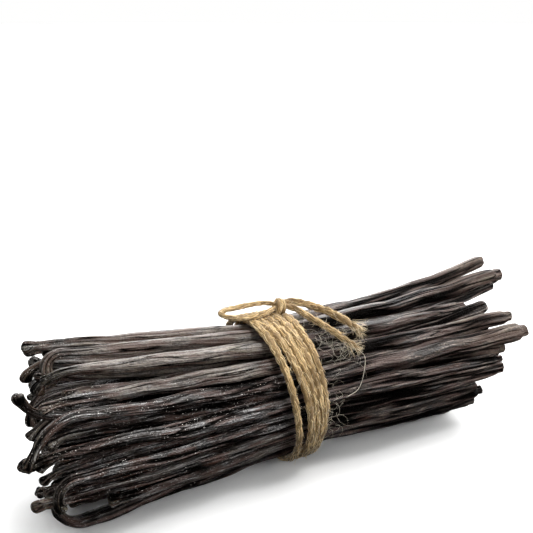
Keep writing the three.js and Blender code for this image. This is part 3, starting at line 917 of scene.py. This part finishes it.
def tube_map(cell, columns, rows, part, rings, sides):
    """Texture places of the corners of a tube's faces, in the order of tube_faces.

    The map is a table of cells. Each holds one part of a tube, opened out, so that a long tube
    takes a few cells and keeps as much detail as a short one."""
    ring = np.arange(rings - 1)
    here = cell + ring // part
    around = np.stack([np.arange(sides)] * 2 + [np.arange(sides) + 1] * 2, -1) / sides
    along = ((ring % part)[:, None] + np.array([0, 1, 1, 0])) / part
    u = ((here % columns)[:, None, None] + CELL_GAP + (1 - 2 * CELL_GAP) * around) / columns
    v = ((here // columns)[:, None] + CELL_GAP + (1 - 2 * CELL_GAP) * along) / rows
    quads = np.stack([u, np.broadcast_to(v[:, None], u.shape)], -1)
    ends = [np.broadcast_to(quads[k, 0, k], (sides, 2)) for k in (0, -1)]
    return [quads.reshape(-1, 2), *ends]


print("a tube of 3 rings of 6 points has", len(tube_faces(0, 3, 6)[0]), "quads")


# %% one mesh of many tubes
def mesh_of_tubes(name, tubes, finish, rows=1, part=None):
    """tubes: pairs of points (rings, sides, 3), in millimetres from the tie, and carried values."""
    faces, corners, first, cell = [], [], 0, 0
    parts = [math.ceil((len(points) - 1) / (part or len(points))) for points, _ in tubes]
    columns = math.ceil(sum(parts) / rows)
    for (points, _), cells in zip(tubes, parts):
        rings, sides = points.shape[:2]
        quads, start, stop = tube_faces(first, rings, sides)
        faces += quads.tolist() + [start, stop]
        corners += tube_map(cell, columns, rows, part or rings - 1, rings, sides)
        first += rings * sides
        cell += cells
    points = np.concatenate([tube.reshape(-1, 3) for tube, _ in tubes]) + TIE_PLACE
    points[:, 2] = np.maximum(points[:, 2], 0)
    mesh = bpy.data.meshes.new(name)
    mesh.from_pydata((points * MM).tolist(), [], faces)
    mesh.uv_layers.new(name="OFBake").data.foreach_set("uv", np.concatenate(corners).ravel())
    for key, first_values in tubes[0][1].items():
        kind, field = ("FLOAT_VECTOR", "vector") if first_values.ndim == 3 else ("FLOAT", "value")
        values = np.concatenate([carried[key].reshape(-1) for _, carried in tubes])
        mesh.attributes.new(key, kind, "POINT").data.foreach_set(field, values)
    mesh.shade_smooth()
    mesh.materials.append(finish)
    triangles = sum(len(face) - 2 for face in faces)
    print(f"{name}: {len(tubes)} tubes, {triangles} triangles")
    return add_object(name, mesh)


print("tubes of a kind share a mesh")

# %% [markdown]
# ## The pods' skin
# Cured skin is nearly black with a warm brown under it. Where it is drier, on the ridges and
# towards the tips, it turns a dull taupe brown; where the oil has come out, it shines, and tiny
# crystals of vanillin catch the light; their pale dots are partly painted glints. A colour alone
# would look like plastic: the sheen must change from place to place, and fine creases must break
# it up lengthwise. Part of the sheen is painted into the colour: grey on fine wrinkles and pale
# highlights on a few thin threads. In the deepest folds the sheen has to go: a nearly black metal
# there mirrors nothing, and that near black colour there is painted shade.

# %% the colours and the noises of the skin
# near black, for the fine cracks and as painted shade in the deeper folds
CRACK_AND_FOLD_SHADE_SKIN = (0.002, 0.0015, 0.0012)
BLACK_SKIN = (0.0065, 0.0052, 0.0045)
BROWN_SKIN = (0.026, 0.017, 0.012)
RED_SKIN = (0.075, 0.030, 0.018)
# painted sheen and painted highlights: grey on fine wrinkles and pale on thin threads, for the light
# that oily skin reflects
WRINKLE_SHEEN_SKIN = (0.100, 0.096, 0.094)
WARM_WRINKLE_SHEEN_SKIN = (0.110, 0.074, 0.058)
THREAD_HIGHLIGHT_SKIN = (0.340, 0.330, 0.325)
WARM_THREAD_HIGHLIGHT_SKIN = (0.300, 0.235, 0.195)
DULL_SKIN = (0.070, 0.050, 0.037)
DRY_SKIN = (0.220, 0.184, 0.150)
WARM_SKIN = (0.225, 0.165, 0.124)
OLIVE_SKIN = (0.155, 0.132, 0.078)
# pale vanillin crystals, partly painted glints
CRYSTAL_GLINT = (0.70, 0.67, 0.63)
SKIN_NOISES = {
    # name: (hills to a millimetre across the pod and along it, shift, detail, roughness)
    "patches": (0.16, 0.07, None, 3.0, 0.5),
    "tints": (0.3, 0.11, (40, 0, 0), 2.0, 0.5),
    "streaks": (1.8, 0.12, None, 4.0, 0.6),
    "wrinkles": (3.0, 0.3, (0, 40, 0), 2.0, 0.6),
    "creases": (1.5, 0.35, None, 3.0, 0.6),
    "grain": (2.6, 1.7, None, 2.0, 0.65),
    "mottle": (1.3, 0.8, (0, 20, 0), 3.0, 0.7),
    "threads": (0.85, 0.06, (0, 0, 60), 1.5, 0.5),
    "cracks": (0.6, 0.022, (90, 0, 0), 1.0, 0.5),
}
THREAD_WIDTH = 0.06     # of the noise, to either side of a thread or a crack
CRACK_WIDTH = 0.045
CRYSTAL_CELLS = (2.0, 2.0, 1.6)     # to a millimetre; one in each cell
CRYSTAL_SIZE = (0.14, 0.26)         # of a cell, where one ends


def skin_noises(finish, place):
    made = {}
    for name, (across, along, shift, detail, roughness) in SKIN_NOISES.items():
        at = place * (across, across, along)
        made[name] = finish.noise(at + shift if shift else at, 1.0, detail, roughness)
    return SimpleNamespace(**made)


print(len(SKIN_NOISES), "noises for the skin")


# %% wet skin with painted sheen, dry skin, and crystals that are partly painted glints
def wet_skin_and_sheen(finish, noise, tone, warm):
    """Black and oily, painted sheen on fine wrinkles, painted highlights on a few threads, all
    warmer near the tip.
    """
    colour = finish.mix((noise.patches + tone * 0.3).above(0.35, 0.85), BLACK_SKIN, BROWN_SKIN)
    # painted sheen on the fine wrinkles
    painted_wrinkle_sheen = noise.wrinkles.above(0.5, 0.66) * (0.25 + noise.grain.above(0.4, 0.6) * 0.75)
    colour = finish.mix(painted_wrinkle_sheen, colour, finish.mix(warm, WRINKLE_SHEEN_SKIN, WARM_WRINKLE_SHEEN_SKIN))
    # painted highlights on a few thin threads
    threads = noise.threads.line(THREAD_WIDTH) * noise.grain.above(0.35, 0.55)
    return finish.mix(threads, colour, finish.mix(warm, THREAD_HIGHLIGHT_SKIN, WARM_THREAD_HIGHLIGHT_SKIN))


def dry_skin(finish, noise, warm):
    """Dull taupe, streaked and mottled, with olive patches."""
    face = finish.mix(warm, DRY_SKIN, WARM_SKIN)
    shade = (noise.streaks * 0.4 + noise.mottle * 0.6).above(0.41, 0.56)
    colour = finish.mix(shade, DULL_SKIN, face)
    return finish.mix(noise.tints.above(0.5, 0.7) * 0.7, colour, OLIVE_SKIN)


def vanillin_glints(finish, noise, place, share, dry):
    """Tiny crystals on the oily skin of the stem's half, pale dots that are partly painted glints.
    """
    sockets = {"Vector": place * CRYSTAL_CELLS, "Scale": 1.0}
    crystal_glint_dots = 1 - finish.node("ShaderNodeTexVoronoi", None, sockets).above(*CRYSTAL_SIZE)
    oily = (1 - share.above(0.25, 0.7)) * (1 - dry * 0.8) * noise.creases.above(0.42, 0.54)
    return crystal_glint_dots * oily


print("crystals up to", CRYSTAL_SIZE[1] / CRYSTAL_CELLS[0], "mm from their middles")


# %% the finish of the pods
def pod_finish():
    finish = Finish(bpy.data.materials.new("cured_pod_skin"))
    place = finish.drawn("skin")
    numbers = ("fold", "share", "tone", "dryness")
    fold, share, tone, dryness = (finish.drawn(name, out=2) for name in numbers)
    noise = skin_noises(finish, place)
    warm = share.above(0.4, 0.62)
    dry = (dryness + noise.patches * 1.2 - 0.6).above(0.2, 0.8)
    dry_here = dry * (0.35 + noise.streaks.above(0.3, 0.6) * 0.65)
    wet_and_sheen = wet_skin_and_sheen(finish, noise, tone, warm)
    colour = finish.mix(dry_here, wet_and_sheen, dry_skin(finish, noise, warm))
    red = fold.above(0.14, 0.36) * noise.tints.above(0.4, 0.55)
    colour = finish.mix(red * 0.75, colour, RED_SKIN)
    stem = (1 - share.above(0.02, 0.08)) * noise.grain.above(0.45, 0.6)
    colour = finish.mix(stem * 0.5, colour, OLIVE_SKIN)
    # painted shade: the deeper folds are painted near black and made a metal that mirrors nothing;
    # the fine cracks get the same
    painted_fold_shade = (fold + warm * 0.06).above(0.36, 0.78)
    crack_and_fold_shade = 1 - (1 - painted_fold_shade) * (1 - noise.cracks.line(CRACK_WIDTH))
    colour = finish.mix(crack_and_fold_shade, colour, CRACK_AND_FOLD_SHADE_SKIN)
    # vanillin crystals, partly painted glints
    crystal_glints = vanillin_glints(finish, noise, place, share, dry)
    colour = finish.mix(crystal_glints * 0.8, colour, CRYSTAL_GLINT)
    rough = 0.22 + dry * 0.2 + share.above(0.45, 0.6) * 0.16
    rough = rough + noise.streaks * 0.1 - crystal_glints * 0.1
    height = noise.creases * 0.7 + noise.streaks * 0.5 + noise.wrinkles * 0.4 + noise.grain * 0.6
    sockets = {"Roughness": rough, "Metallic": crack_and_fold_shade, "Normal": finish.bump(height, 1.0, 0.55)}
    return finish.surface(Base_Color=colour, Specular_IOR_Level=0.7, **sockets)


POD_SKIN = pod_finish()
print("pod finish has", len(POD_SKIN.node_tree.nodes), "nodes")

# %% [markdown]
# ## The pods by kind
# The outer ring shows along its whole length, so it gets the finest skin. The ring inside it shows
# at the ends and through the gaps. The pods further in show only at their ends, so only those are
# made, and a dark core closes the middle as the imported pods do.

# %% the pods
POD_KINDS = {
    # name: (rings, places in a ring, points round a pod, millimetres from one round to the next)
    "front_pods": (range(1), range(8), 72, 1.15),
    "back_pods": (range(1), range(12, 20), 60, 1.3),
    "under_pods": (range(1), range(8, 12), 44, 1.3),
    "second_ring_pods": (range(1, 2), range(15), 44, 1.3),
    "heart_pods": (range(2, RINGS + 1), range(10), 36, 1.1),
}
HEART_RING = 2          # from which on only the ends are made
HEART_FROM = 30.0       # millimetres from the tie


def tubes_of(pod, index, *detail):
    """A whole pod, or its ends where it lies deep inside; the inner stems have no tip."""
    tip, stem = pod["tip"][2], pod["stem"][2]
    if pod["ring"] < HEART_RING:
        return [pod_skin(pod, index, tip, stem, *detail)]
    ends = [pod_skin(pod, index, -HEART_FROM, stem, *detail)]
    if pod["ring"] < RINGS:
        ends.append(pod_skin(pod, index, tip, HEART_FROM, *detail))
    return ends


def make_pods(name, rings, places, *detail):
    tubes = []
    for index, pod in enumerate(PODS):
        if pod["ring"] in rings and pod["place"] in places:
            tubes += tubes_of(pod, index, *detail)
    return mesh_of_tubes(name, tubes, POD_SKIN)


pod_pieces = [make_pods(name, *values) for name, values in POD_KINDS.items()]
print(len(pod_pieces), "kinds of pods")

# %% the core
CORE_REACH = 63.0
CORE_INSET = 7.0        # millimetres inside the bundle's outer face
CORE_TAPER = 9.0        # millimetres narrower at its ends
CORE_BLUNT = 4          # how late along it that comes
CORE_RINGS = 90
CORE_SIDES = 96
CORE_SHIFT = np.array([3.3, 5.5, 7.7])  # in the noise


def make_core():
    x = np.linspace(-CORE_REACH, CORE_REACH, CORE_RINGS)
    angle = np.broadcast_to(angles_round(CORE_SIDES), (CORE_RINGS, CORE_SIDES))
    along = np.broadcast_to(x[:, None], angle.shape)
    radius = bundle_radius(x) - CORE_INSET - CORE_TAPER * (x / CORE_REACH) ** CORE_BLUNT
    sunk, fold = skin(angle, along, CORE_SHIFT)
    radius = radius[:, None] - 2 * sunk
    across = radius * np.sin(angle), axis_height(x)[:, None] + radius * np.cos(angle)
    points = np.stack([along, *across], -1)
    carried = {"skin": points + CORE_SHIFT, "fold": fold}
    carried.update(dict.fromkeys(("share", "tone", "dryness"), along * 0))
    return mesh_of_tubes("core", [(points, carried)], POD_SKIN)


pod_pieces.append(make_core())
print("the core ends", CORE_REACH, "mm from the tie")

# %% [markdown]
# ## The twine
# Jute twine is two plies laid round each other, each a soft rope of coarse fibres, with hairs that
# stand off it everywhere. It goes five times round the bundle and ends in a small bow: a loop to
# the left, a knot, and two cut tails that have begun to fray. A tube with a striped material reads
# as plastic cord. Two real strands wound round one line give the notched outline, and thin tubes
# give the hairs.

# %% how the twine is wound
TWINE_RADIUS = 1.0
TWINE_GAP = 0.35        # millimetres between the pods and the twine
TURNS = [
    # distances of each turn from the tie, on top, at the sides and underneath
    [-10.6, -7.6, -3.6], [-8, -3.3, -2.2], [-5, -1.4, -0.8], [-2, 0.1, 0.6], [1, 1.6, 2],
]
WINDING = [4, 0, 1, 2, 3, 4]    # the turns in the order in which the twine runs through them
HAND_OVER = (150, 210)  # degrees between which one turn runs over into the next, underneath
LOOSE = 0.25            # millimetres that a turn waves to its sides


def turn_place(turn, angle):
    """A turn's distance from the tie, by its angle round the bundle."""
    top, side, bottom = TURNS[turn]
    level = np.cos(angle)
    return side + (top - bottom) / 2 * level + ((top + bottom) / 2 - side) * level**2


def winding_line(step=2.0):
    """The five turns in one line, from the knot down the front, and at last up the back."""
    lines = []
    for front, back in zip(WINDING, WINDING[1:]):
        degrees = np.arange(0, 360, step)
        angle = np.radians(degrees)
        t = clamp((degrees - HAND_OVER[0]) / (HAND_OVER[1] - HAND_OVER[0]))
        share = t * t * (3 - 2 * t)
        x = turn_place(front, angle) * (1 - share) + turn_place(back, angle) * share
        loose = LOOSE * np.sin(3 * angle + front) * np.sin(angle) ** 2
        lines.append(over(x + loose, degrees, TWINE_GAP + TWINE_RADIUS))
    return np.vstack(lines)


print(len(WINDING) - 1, "turns,", round(run_of(winding_line())), "mm of twine")

# %% the bow
KNOT = (0.4, -6, 3.6)   # distance from the tie, degrees round, height above the pods
LOOP = [
    [0.5, -6, 4.2], [-4, -8, 5.4], [-11, -9, 5.2], [-17, -9, 4.6], [-19.4, -6, 3.9],
    [-18, -1, 3.4], [-13, 2, 2.9], [-7, 2, 3.6], [-1, -4, 3.8],
]
UPPER_TAIL = [[1.5, -6, 4.6], [6, -5, 4.4], [11.5, 1, 2.4], [14, 11, 2], [17, 25, 2], [20, 39, 2]]
LOWER_TAIL = [[1.5, -4, 4], [4.5, 1, 3.2], [6, 10, 2.4], [8.5, 23, 2], [12, 37, 2], [16.5, 51, 2]]


def curve_through(points, steps=160):
    """A smooth curve through a few points."""
    points = np.asarray(points, float)
    padded = np.vstack([2 * points[0] - points[1], points, 2 * points[-1] - points[-2]])
    t = np.linspace(0, len(points) - 1 - 1e-9, steps)
    k = t.astype(int)
    t = (t - k)[:, None]
    a, b, c, d = (padded[k + j] for j in range(4))
    square, cube = 2 * a - 5 * b + 4 * c - d, 3 * b - a - 3 * c + d
    return 0.5 * (2 * b + (c - a) * t + square * t**2 + cube * t**3)


def curve_over(places, steps=160):
    """A smooth curve through places over the pods."""
    return curve_through(over(*np.array(places).T), steps)


def knot_wrap(radius, lean, turns, spread, steps=80):
    """A wrap of twine round the knot: its ring leans towards the bow."""
    t = np.linspace(-0.5, 0.5, steps)
    angle = 2 * math.pi * turns * t
    ring = np.stack([spread * t, radius * np.cos(angle), radius * np.sin(angle)], -1)
    level, rise = math.cos(math.radians(lean)), math.sin(math.radians(lean))
    twist = np.array([[level, 0, rise], [0, 1, 0], [-rise, 0, level]])
    return over(*KNOT) + ring @ twist.T


ROUTES = {
    # name: (line, share of the full thickness, whether its end is frayed)
    "winding": (winding_line(), 1.0, False),
    "bow": (curve_over(LOOP), 0.74, False),
    "upper_tail": (curve_over(UPPER_TAIL), 1.1, True),
    "lower_tail": (curve_over(LOWER_TAIL), 0.95, True),
    "knot_wrap": (knot_wrap(1.9, 12, 1.45, 2.0), 0.85, False),
    "knot_cross": (knot_wrap(1.3, 75, 1.1, 1.0), 0.8, False),
}
print("twine in all", round(sum(run_of(line) for line, _, _ in ROUTES.values())), "mm")

# %% two plies wound round each line
LAY = 6.2               # millimetres along the twine for one whole turn of the plies
PLY_OFFSET = 0.235      # of the twine's radius, from its middle to a ply's
PLY_RADIUS = 0.785
PLY_STEP = 0.45
PLY_END = (0.5, 0.25)   # millimetres in which it grows by its whole width, and its end's share
FRAY_RUN = 6.5          # millimetres of a tail over which its plies come loose
FRAY_SPREAD = 2.2       # how much further apart they lie at its end
FRAY_THIN = 0.5         # and how much thinner they are
SPREAD = 0.5            # how much wider the turns lie over the top, where they are pressed flat
SPREAD_REACH = 42.0     # degrees
UPWARDS = np.array([0.3, 0.2, 1.0])


def ply_line(name, half_turn):
    """The line of one ply of a strand, which winds about the strand's own, and its size."""
    line, thick, frayed = ROUTES[name]
    length = run_of(line)
    places = np.arange(0, length, PLY_STEP)
    strand, _ = evenly(line, places)
    _, across, up = frames(strand, UPWARDS)
    phase = 2 * math.pi * places / LAY + half_turn
    loose = clamp((places - length + FRAY_RUN) / FRAY_RUN) if frayed else 0 * places
    offset = TWINE_RADIUS * thick * PLY_OFFSET * (1 + FRAY_SPREAD * loose)
    out = np.cos(phase)[:, None] * across + np.sin(phase)[:, None] * up
    middle = strand + offset[:, None] * out
    _, side, top = frames(middle, UPWARDS)
    ends = clamp(np.minimum(places, length - places) / PLY_END[0] + PLY_END[1])
    radius = TWINE_RADIUS * thick * PLY_RADIUS * (ends * (1 - FRAY_THIN * loose))
    degrees = np.degrees(np.arctan2(-strand[:, 1], strand[:, 2] - axis_height(strand[:, 0])))
    spread = SPREAD * np.exp(-((degrees / SPREAD_REACH) ** 2)) * (name == "winding")
    made = {"strand": strand, "middle": middle, "side": side, "top": top}
    return {**made, "radius": radius, "spread": spread}


def on_ply(ply, k, angle, radius):
    """Points at places k of a ply, at these angles and this far from its middle line."""
    out = np.cos(angle)[..., None] * ply["side"][k] + np.sin(angle)[..., None] * ply["top"][k]
    aside = ply["middle"][k] + radius[..., None] * out - ply["strand"][k]
    aside[..., 0] *= 1 + ply["spread"][k]
    return ply["strand"][k] + aside


PLIES = {(name, turn): ply_line(name, turn) for name in ROUTES for turn in (0.0, math.pi)}
print(len(PLIES), "plies")

# %% the body of a ply
PLY_SIDES = 12
PLY_PART = 100          # rings in one cell of the texture map
FIBRE_TWIST = 0.4       # radians for each millimetre that the fibres turn round the ply
RIDGES = (7, 2.6)       # of fibres: how many round the ply, and over what length
RIDGE_HEIGHT = 0.16     # of the ply's radius
SLUBS = (2, 5.0)        # thick and thin places, in the same way
SLUB_HEIGHT = 0.14
PLY_SHIFT = np.array([17.0, 3.0, 9.0])  # in the noise
# a ply is browner in its hollows, as painted shade
PLY_BROWN_AND_HOLLOW_SHADE = (0.8, 3, 0.4)   # how brown it is, how much more in a hollow, and the least


def ply_tube(ply, half_turn):
    k = np.arange(len(ply["radius"]))[:, None]
    angle = angles_round(PLY_SIDES)[None, :] + 0 * k
    along = PLY_STEP * k + 0 * angle
    where = PLY_SHIFT + half_turn
    fibre = angle + along * FIBRE_TWIST
    ridges = RIDGE_HEIGHT * hills(on_drum(fibre, along, *RIDGES, where))
    relief = ridges + SLUB_HEIGHT * hills(on_drum(angle, along, *SLUBS, where))
    shape = on_ply(ply, k, angle, ply["radius"][k] * (1 + relief))
    jute = np.stack([np.cos(fibre), np.sin(fibre), along], -1) + where
    # painted shade: the hollows of a ply are made browner
    brown, hollow_shade, least = PLY_BROWN_AND_HOLLOW_SHADE
    return shape, {"jute": jute, "deep": np.clip(brown - hollow_shade * relief, least, 1)}


ply_tubes = [ply_tube(ply, turn) for (_, turn), ply in PLIES.items()]
print("the plies have", sum(len(points) for points, _ in ply_tubes), "rings of points")

# %% [markdown]
# ## Fibres, hairs and frayed ends
# What makes jute look like jute is that it is a heap of single fibres. They could be a hair system,
# but that is left out of an export. They are thin three-sided tubes. Most lie along the plies, some
# pale and some brown, and only their ends stand off; shorter ones leave the twine at a slant and
# curl. At a cut end the whole twine opens into a brush of them, and many fine wisps have caught on
# the pods beside it.

# %% fibres along the plies
THIN_SIDES = 3
THIN_START = np.array([0.2, 0.9, 0.4])  # which way the first corner of a thin tube points
FIBRES_PER_MM = 2.4
FIBRE_RUN = (4.0, 13.0)
FIBRE_RADIUS = (0.07, 0.15)
FIBRE_DRIFT = (-0.6, 0.0)       # radians round the ply for each millimetre
FIBRE_STRIDE = 2                # places of the ply from one point of a fibre to the next
FIBRE_LIE = (0.95, 1.12)        # of the ply's radius, from its middle
FIBRE_LIFT = (-0.1, 0.9)        # how much further out its end stands
FIBRE_LATE = 8                  # and how late along the fibre that begins
FIBRE_ENDS = (0.05, 0.9)        # shares of its length beyond which it gets no thinner
FIBRE_BROWN = (0.95, 1.3)       # the top of a draw, and its power, which favours pale ones


def thin_tube(line, radius, deep):
    """A tube round a line; deep is 0 for a pale fibre, 1 for a brown, -1 for a white hair."""
    _, across, up = frames(line, THIN_START)
    angle = angles_round(THIN_SIDES)
    ring = across[:, None] * np.cos(angle)[:, None] + up[:, None] * np.sin(angle)[:, None]
    points = line[:, None] + radius[:, None, None] * ring
    jute = np.repeat(line[:, None], THIN_SIDES, 1)
    return points, {"jute": jute, "deep": np.full(points.shape[:2], deep)}


def away_from_bundle(points):
    x = points[..., 0]
    return points - np.stack([x, 0 * x, axis_height(x)], -1)


def fibres(name, ply, dice):
    tubes = []
    last = len(ply["radius"]) - 1
    longest = last // FIBRE_STRIDE - 1
    for _ in range(int(last * PLY_STEP * FIBRES_PER_MM)):
        count = min(int(dice.uniform(*FIBRE_RUN) / PLY_STEP / FIBRE_STRIDE), longest)
        k = dice.integers(0, last - count * FIBRE_STRIDE) + FIBRE_STRIDE * np.arange(count)
        t = np.linspace(0, 1, count)
        angle = dice.uniform(0, 2 * math.pi) + dice.uniform(*FIBRE_DRIFT) * PLY_STEP * (k - k[0])
        stand_off = dice.uniform(*FIBRE_LIE) + dice.uniform(*FIBRE_LIFT) * t**FIBRE_LATE
        line = on_ply(ply, k, angle, ply["radius"][k] * stand_off)
        outwards = line[count // 2] - ply["strand"][k[count // 2]]
        if name == "winding" and outwards @ away_from_bundle(line[count // 2]) < 0:
            continue
        thin = np.sqrt(np.sin(math.pi * np.clip(t, *FIBRE_ENDS)))
        radius = dice.uniform(*FIBRE_RADIUS) * thin
        tubes.append(thin_tube(line, radius, dice.uniform(0, FIBRE_BROWN[0]) ** FIBRE_BROWN[1]))
    return tubes


dice = np.random.default_rng(SEED + 1)
fibre_tubes = [tube for (name, _), ply in PLIES.items() for tube in fibres(name, ply, dice)]
print(len(fibre_tubes), "fibres")

# %% hairs that stand off
HAIR_STEPS = 6
HAIR_DEEP = -0.45       # how pale it is, in the way of thin_tube
HAIR_RADIUS = (0.025, 0.06)
HAIRS_PER_MM = 3.0
HAIR_SPACING = 0.5      # millimetres between the places where hairs may grow
HAIR_DEPTH = 0.85       # of the twine's radius, where a hair's root is
HAIR_RISE = (0.1, 1.0)  # how steeply it leaves the twine
HAIR_INWARDS = -0.1     # how far towards the pods its root may be, on the winding
HAIR_LENGTH = 1.2       # millimetres, the middle of a long-tailed range
HAIR_RANGE = 0.6        # powers of e by which most are longer or shorter
LONGEST_HAIR = 0.95     # the power of e by which the longest is longer
HAIR_BEND = 60          # degrees that most hairs turn


def hair(root, way, bend, length, radius, dice, steps=HAIR_STEPS, deep=HAIR_DEEP):
    """A thin tube from its root that turns this many degrees to a side."""
    aside = dice.normal(size=3)
    aside = unit(aside - way * (aside @ way))
    turn = math.radians(bend) * np.linspace(0, 1, steps)
    step = np.cos(turn)[:, None] * way + np.sin(turn)[:, None] * aside
    line = root + np.cumsum(step, 0) * length / steps
    return thin_tube(line, radius * np.linspace(1, 0.5, steps), deep)


def strand_hairs(name, dice):
    tubes = []
    line, thick, _ = ROUTES[name]
    points, _ = evenly(line, np.arange(0, run_of(line), HAIR_SPACING))
    heading, across, up = frames(points, UPWARDS)
    for _ in range(int(run_of(line) * HAIRS_PER_MM)):
        k = dice.integers(1, len(points) - 1)
        angle = dice.uniform(0, 2 * math.pi)
        outwards = math.cos(angle) * across[k] + math.sin(angle) * up[k]
        if name == "winding" and outwards @ unit(away_from_bundle(points[k])) < HAIR_INWARDS:
            continue
        root = points[k] + outwards * TWINE_RADIUS * thick * HAIR_DEPTH
        way = unit(dice.choice((-1, 1)) * heading[k] + outwards * dice.uniform(*HAIR_RISE))
        length = HAIR_LENGTH * math.exp(min(dice.normal() * HAIR_RANGE, LONGEST_HAIR))
        bend = dice.normal() * HAIR_BEND
        tubes.append(hair(root, way, bend, length, dice.uniform(*HAIR_RADIUS), dice))
    return tubes


hair_tubes = [tube for name in ROUTES for tube in strand_hairs(name, dice)]
print(len(hair_tubes), "hairs")

# %% frayed ends
BRUSH_COUNT = 60
BRUSH_LENGTH = (0.8, 3.4)   # millimetres past the cut, before they are scaled
BRUSH_SCALE = (0.8, 0.6)    # of the way back to the root, and of the length past the cut
BRUSH_ROOTS = (0.1, 1.0)    # of the twine's radius
BRUSH_SPREAD = 0.3
BRUSH_THICK = 1.5           # of a hair's radius
END_POINTS = 8              # of a tail's line, that give the way it heads


def brush(name, dice):
    """The open end of a cut tail."""
    tubes = []
    line, thick, _ = ROUTES[name]
    ahead = unit(line[-1] - line[-END_POINTS])
    for _ in range(BRUSH_COUNT):
        aside = dice.normal(size=3)
        aside -= ahead * (aside @ ahead)
        back = dice.uniform(0, FRAY_RUN)
        out = unit(aside) * TWINE_RADIUS * thick * dice.uniform(*BRUSH_ROOTS)
        length = back * BRUSH_SCALE[0] + dice.uniform(*BRUSH_LENGTH) * BRUSH_SCALE[1]
        way = unit(ahead + aside * BRUSH_SPREAD)
        bend = dice.normal() * HAIR_BEND
        radius = BRUSH_THICK * dice.uniform(*HAIR_RADIUS)
        tubes.append(hair(line[-1] - ahead * back + out, way, bend, length, radius, dice))
    return tubes


frayed_tubes = [tube for name in ROUTES if ROUTES[name][2] for tube in brush(name, dice)]
print(len(frayed_tubes), "fibres at the two cut ends")

# %% wisps on the pods
WISPS = [
    # how many, between which distances from the tie, and between which degrees round the bundle
    (72, (3, 15), (20, 58)),
    (30, (2, 6.5), (64, 115)),
    (10, (-10, -6), (15, 60)),
]
WISP_HEIGHT = 1.2       # millimetres of its root above the pods
WISP_LOWEST = 0.2       # and of all its points, at least
WISP_LENGTH = (3.0, 9.0)
WISP_BEND = (70, 230)   # degrees
WISP_STEPS = 11
WISP_WAY = 0.6          # how much it heads towards the tips, and how far it strays from that
WISP_RISE = 0.1
WISP_THIN = 0.65        # of a hair's radius
WHITE = -1.0            # how pale it is, in the way of thin_tube
LONG_FIBRE = [[16.5, 51, 1.6], [17.3, 57, 2.2], [15.6, 68, 2.2], [13.2, 79, 1.8], [9.4, 84, 1.0]]
LONG_FIBRE_RADIUS = 0.09
LONG_FIBRE_STEPS = 26


def wisp(distance, degrees, dice):
    """A long curled hair that lies on the pods."""
    root = over(dice.uniform(*distance), dice.uniform(*degrees), WISP_HEIGHT)
    way = dice.normal(size=3) * WISP_WAY + (WISP_WAY, 0, 0)
    out = unit(away_from_bundle(root))
    way = unit(way - out * (way @ out) + out * WISP_RISE)
    length = dice.uniform(*WISP_LENGTH)
    radius = WISP_THIN * dice.uniform(*HAIR_RADIUS)
    bend = dice.uniform(*WISP_BEND)
    points, carried = hair(root, way, bend, length, radius, dice, WISP_STEPS, WHITE)
    away = away_from_bundle(points)
    far = np.linalg.norm(away, axis=-1)
    short = np.maximum(bundle_radius(points[..., 0]) + WISP_LOWEST - far, 0)
    return points + short[..., None] * away / far[..., None], carried


def wisps(dice):
    return [wisp(*where, dice) for count, *where in WISPS for _ in range(count)]


long_line = curve_over(LONG_FIBRE, LONG_FIBRE_STEPS)
long_fibre = thin_tube(long_line, np.full(LONG_FIBRE_STEPS, LONG_FIBRE_RADIUS), WHITE)
wisp_tubes = wisps(np.random.default_rng(SEED + 4))
print(len(wisp_tubes), "wisps and a long fibre")

# %% [markdown]
# ## The jute's finish
# Jute is straw gold, paler where single fibres catch the light, and brown between them: partly
# its own brown, partly painted shade in the hollows. It has no gloss to speak of, only a soft sheen.

# %% the finish of the twine
HAIR_JUTE = (0.92, 0.84, 0.68)
PALE_JUTE = (0.98, 0.78, 0.45)
GOLD_JUTE = (0.80, 0.56, 0.25)
BROWN_AND_SHADE_JUTE = (0.17, 0.10, 0.04)
STRAND_HILLS = (3.4, 3.4, 0.35)     # of the noises, round the ply and along it
PATCH_HILLS = (0.6, 0.6, 0.25)


def jute_finish():
    finish = Finish(bpy.data.materials.new("jute"))
    place = finish.drawn("jute")
    deep = finish.drawn("deep", out=2)
    strands = finish.noise(place * STRAND_HILLS, 1.0, 3.0, 0.6)
    patches = finish.noise(place * PATCH_HILLS)
    colour = finish.mix((deep + patches * 0.4).above(0.1, 0.7), PALE_JUTE, GOLD_JUTE)
    # browner where the strands' bump is low: partly the jute's own brown, partly painted shade in
    # those hollows
    brown = (deep + (1 - strands) * 0.6).above(0.66, 1.06)
    colour = finish.mix(brown * 0.85, colour, BROWN_AND_SHADE_JUTE)
    colour = finish.mix((0 - deep).above(0.1, 0.9), colour, HAIR_JUTE)
    sockets = {"Roughness": 0.85, "Sheen_Weight": 0.25, "Sheen_Roughness": 0.5}
    return finish.surface(Base_Color=colour, Normal=finish.bump(strands, 0.8, 0.2), **sockets)


JUTE = jute_finish()
print("jute finish has", len(JUTE.node_tree.nodes), "nodes")

# %% the twine's pieces
MAP_ROWS = 25           # of the texture map's cells, for the thin tubes
all_hairs = hair_tubes + frayed_tubes + wisp_tubes + [long_fibre]
twine_pieces = [
    mesh_of_tubes("twine_plies", ply_tubes, JUTE, 2, PLY_PART),
    mesh_of_tubes("twine_fibres", fibre_tubes, JUTE, MAP_ROWS),
    mesh_of_tubes("twine_hairs", all_hairs, JUTE, MAP_ROWS),
]
print(len(twine_pieces), "pieces of twine")

# %% [markdown]
# ## The pieces and their body
# Each piece moves with the root body, and the imported solids of the pods and the twine, which the
# pieces stand for, are hidden.

# %% what each piece stands for
for piece in pod_pieces:
    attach(piece, "root")
    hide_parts("pods")
for piece in twine_pieces:
    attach(piece, "root")
    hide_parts("twine")
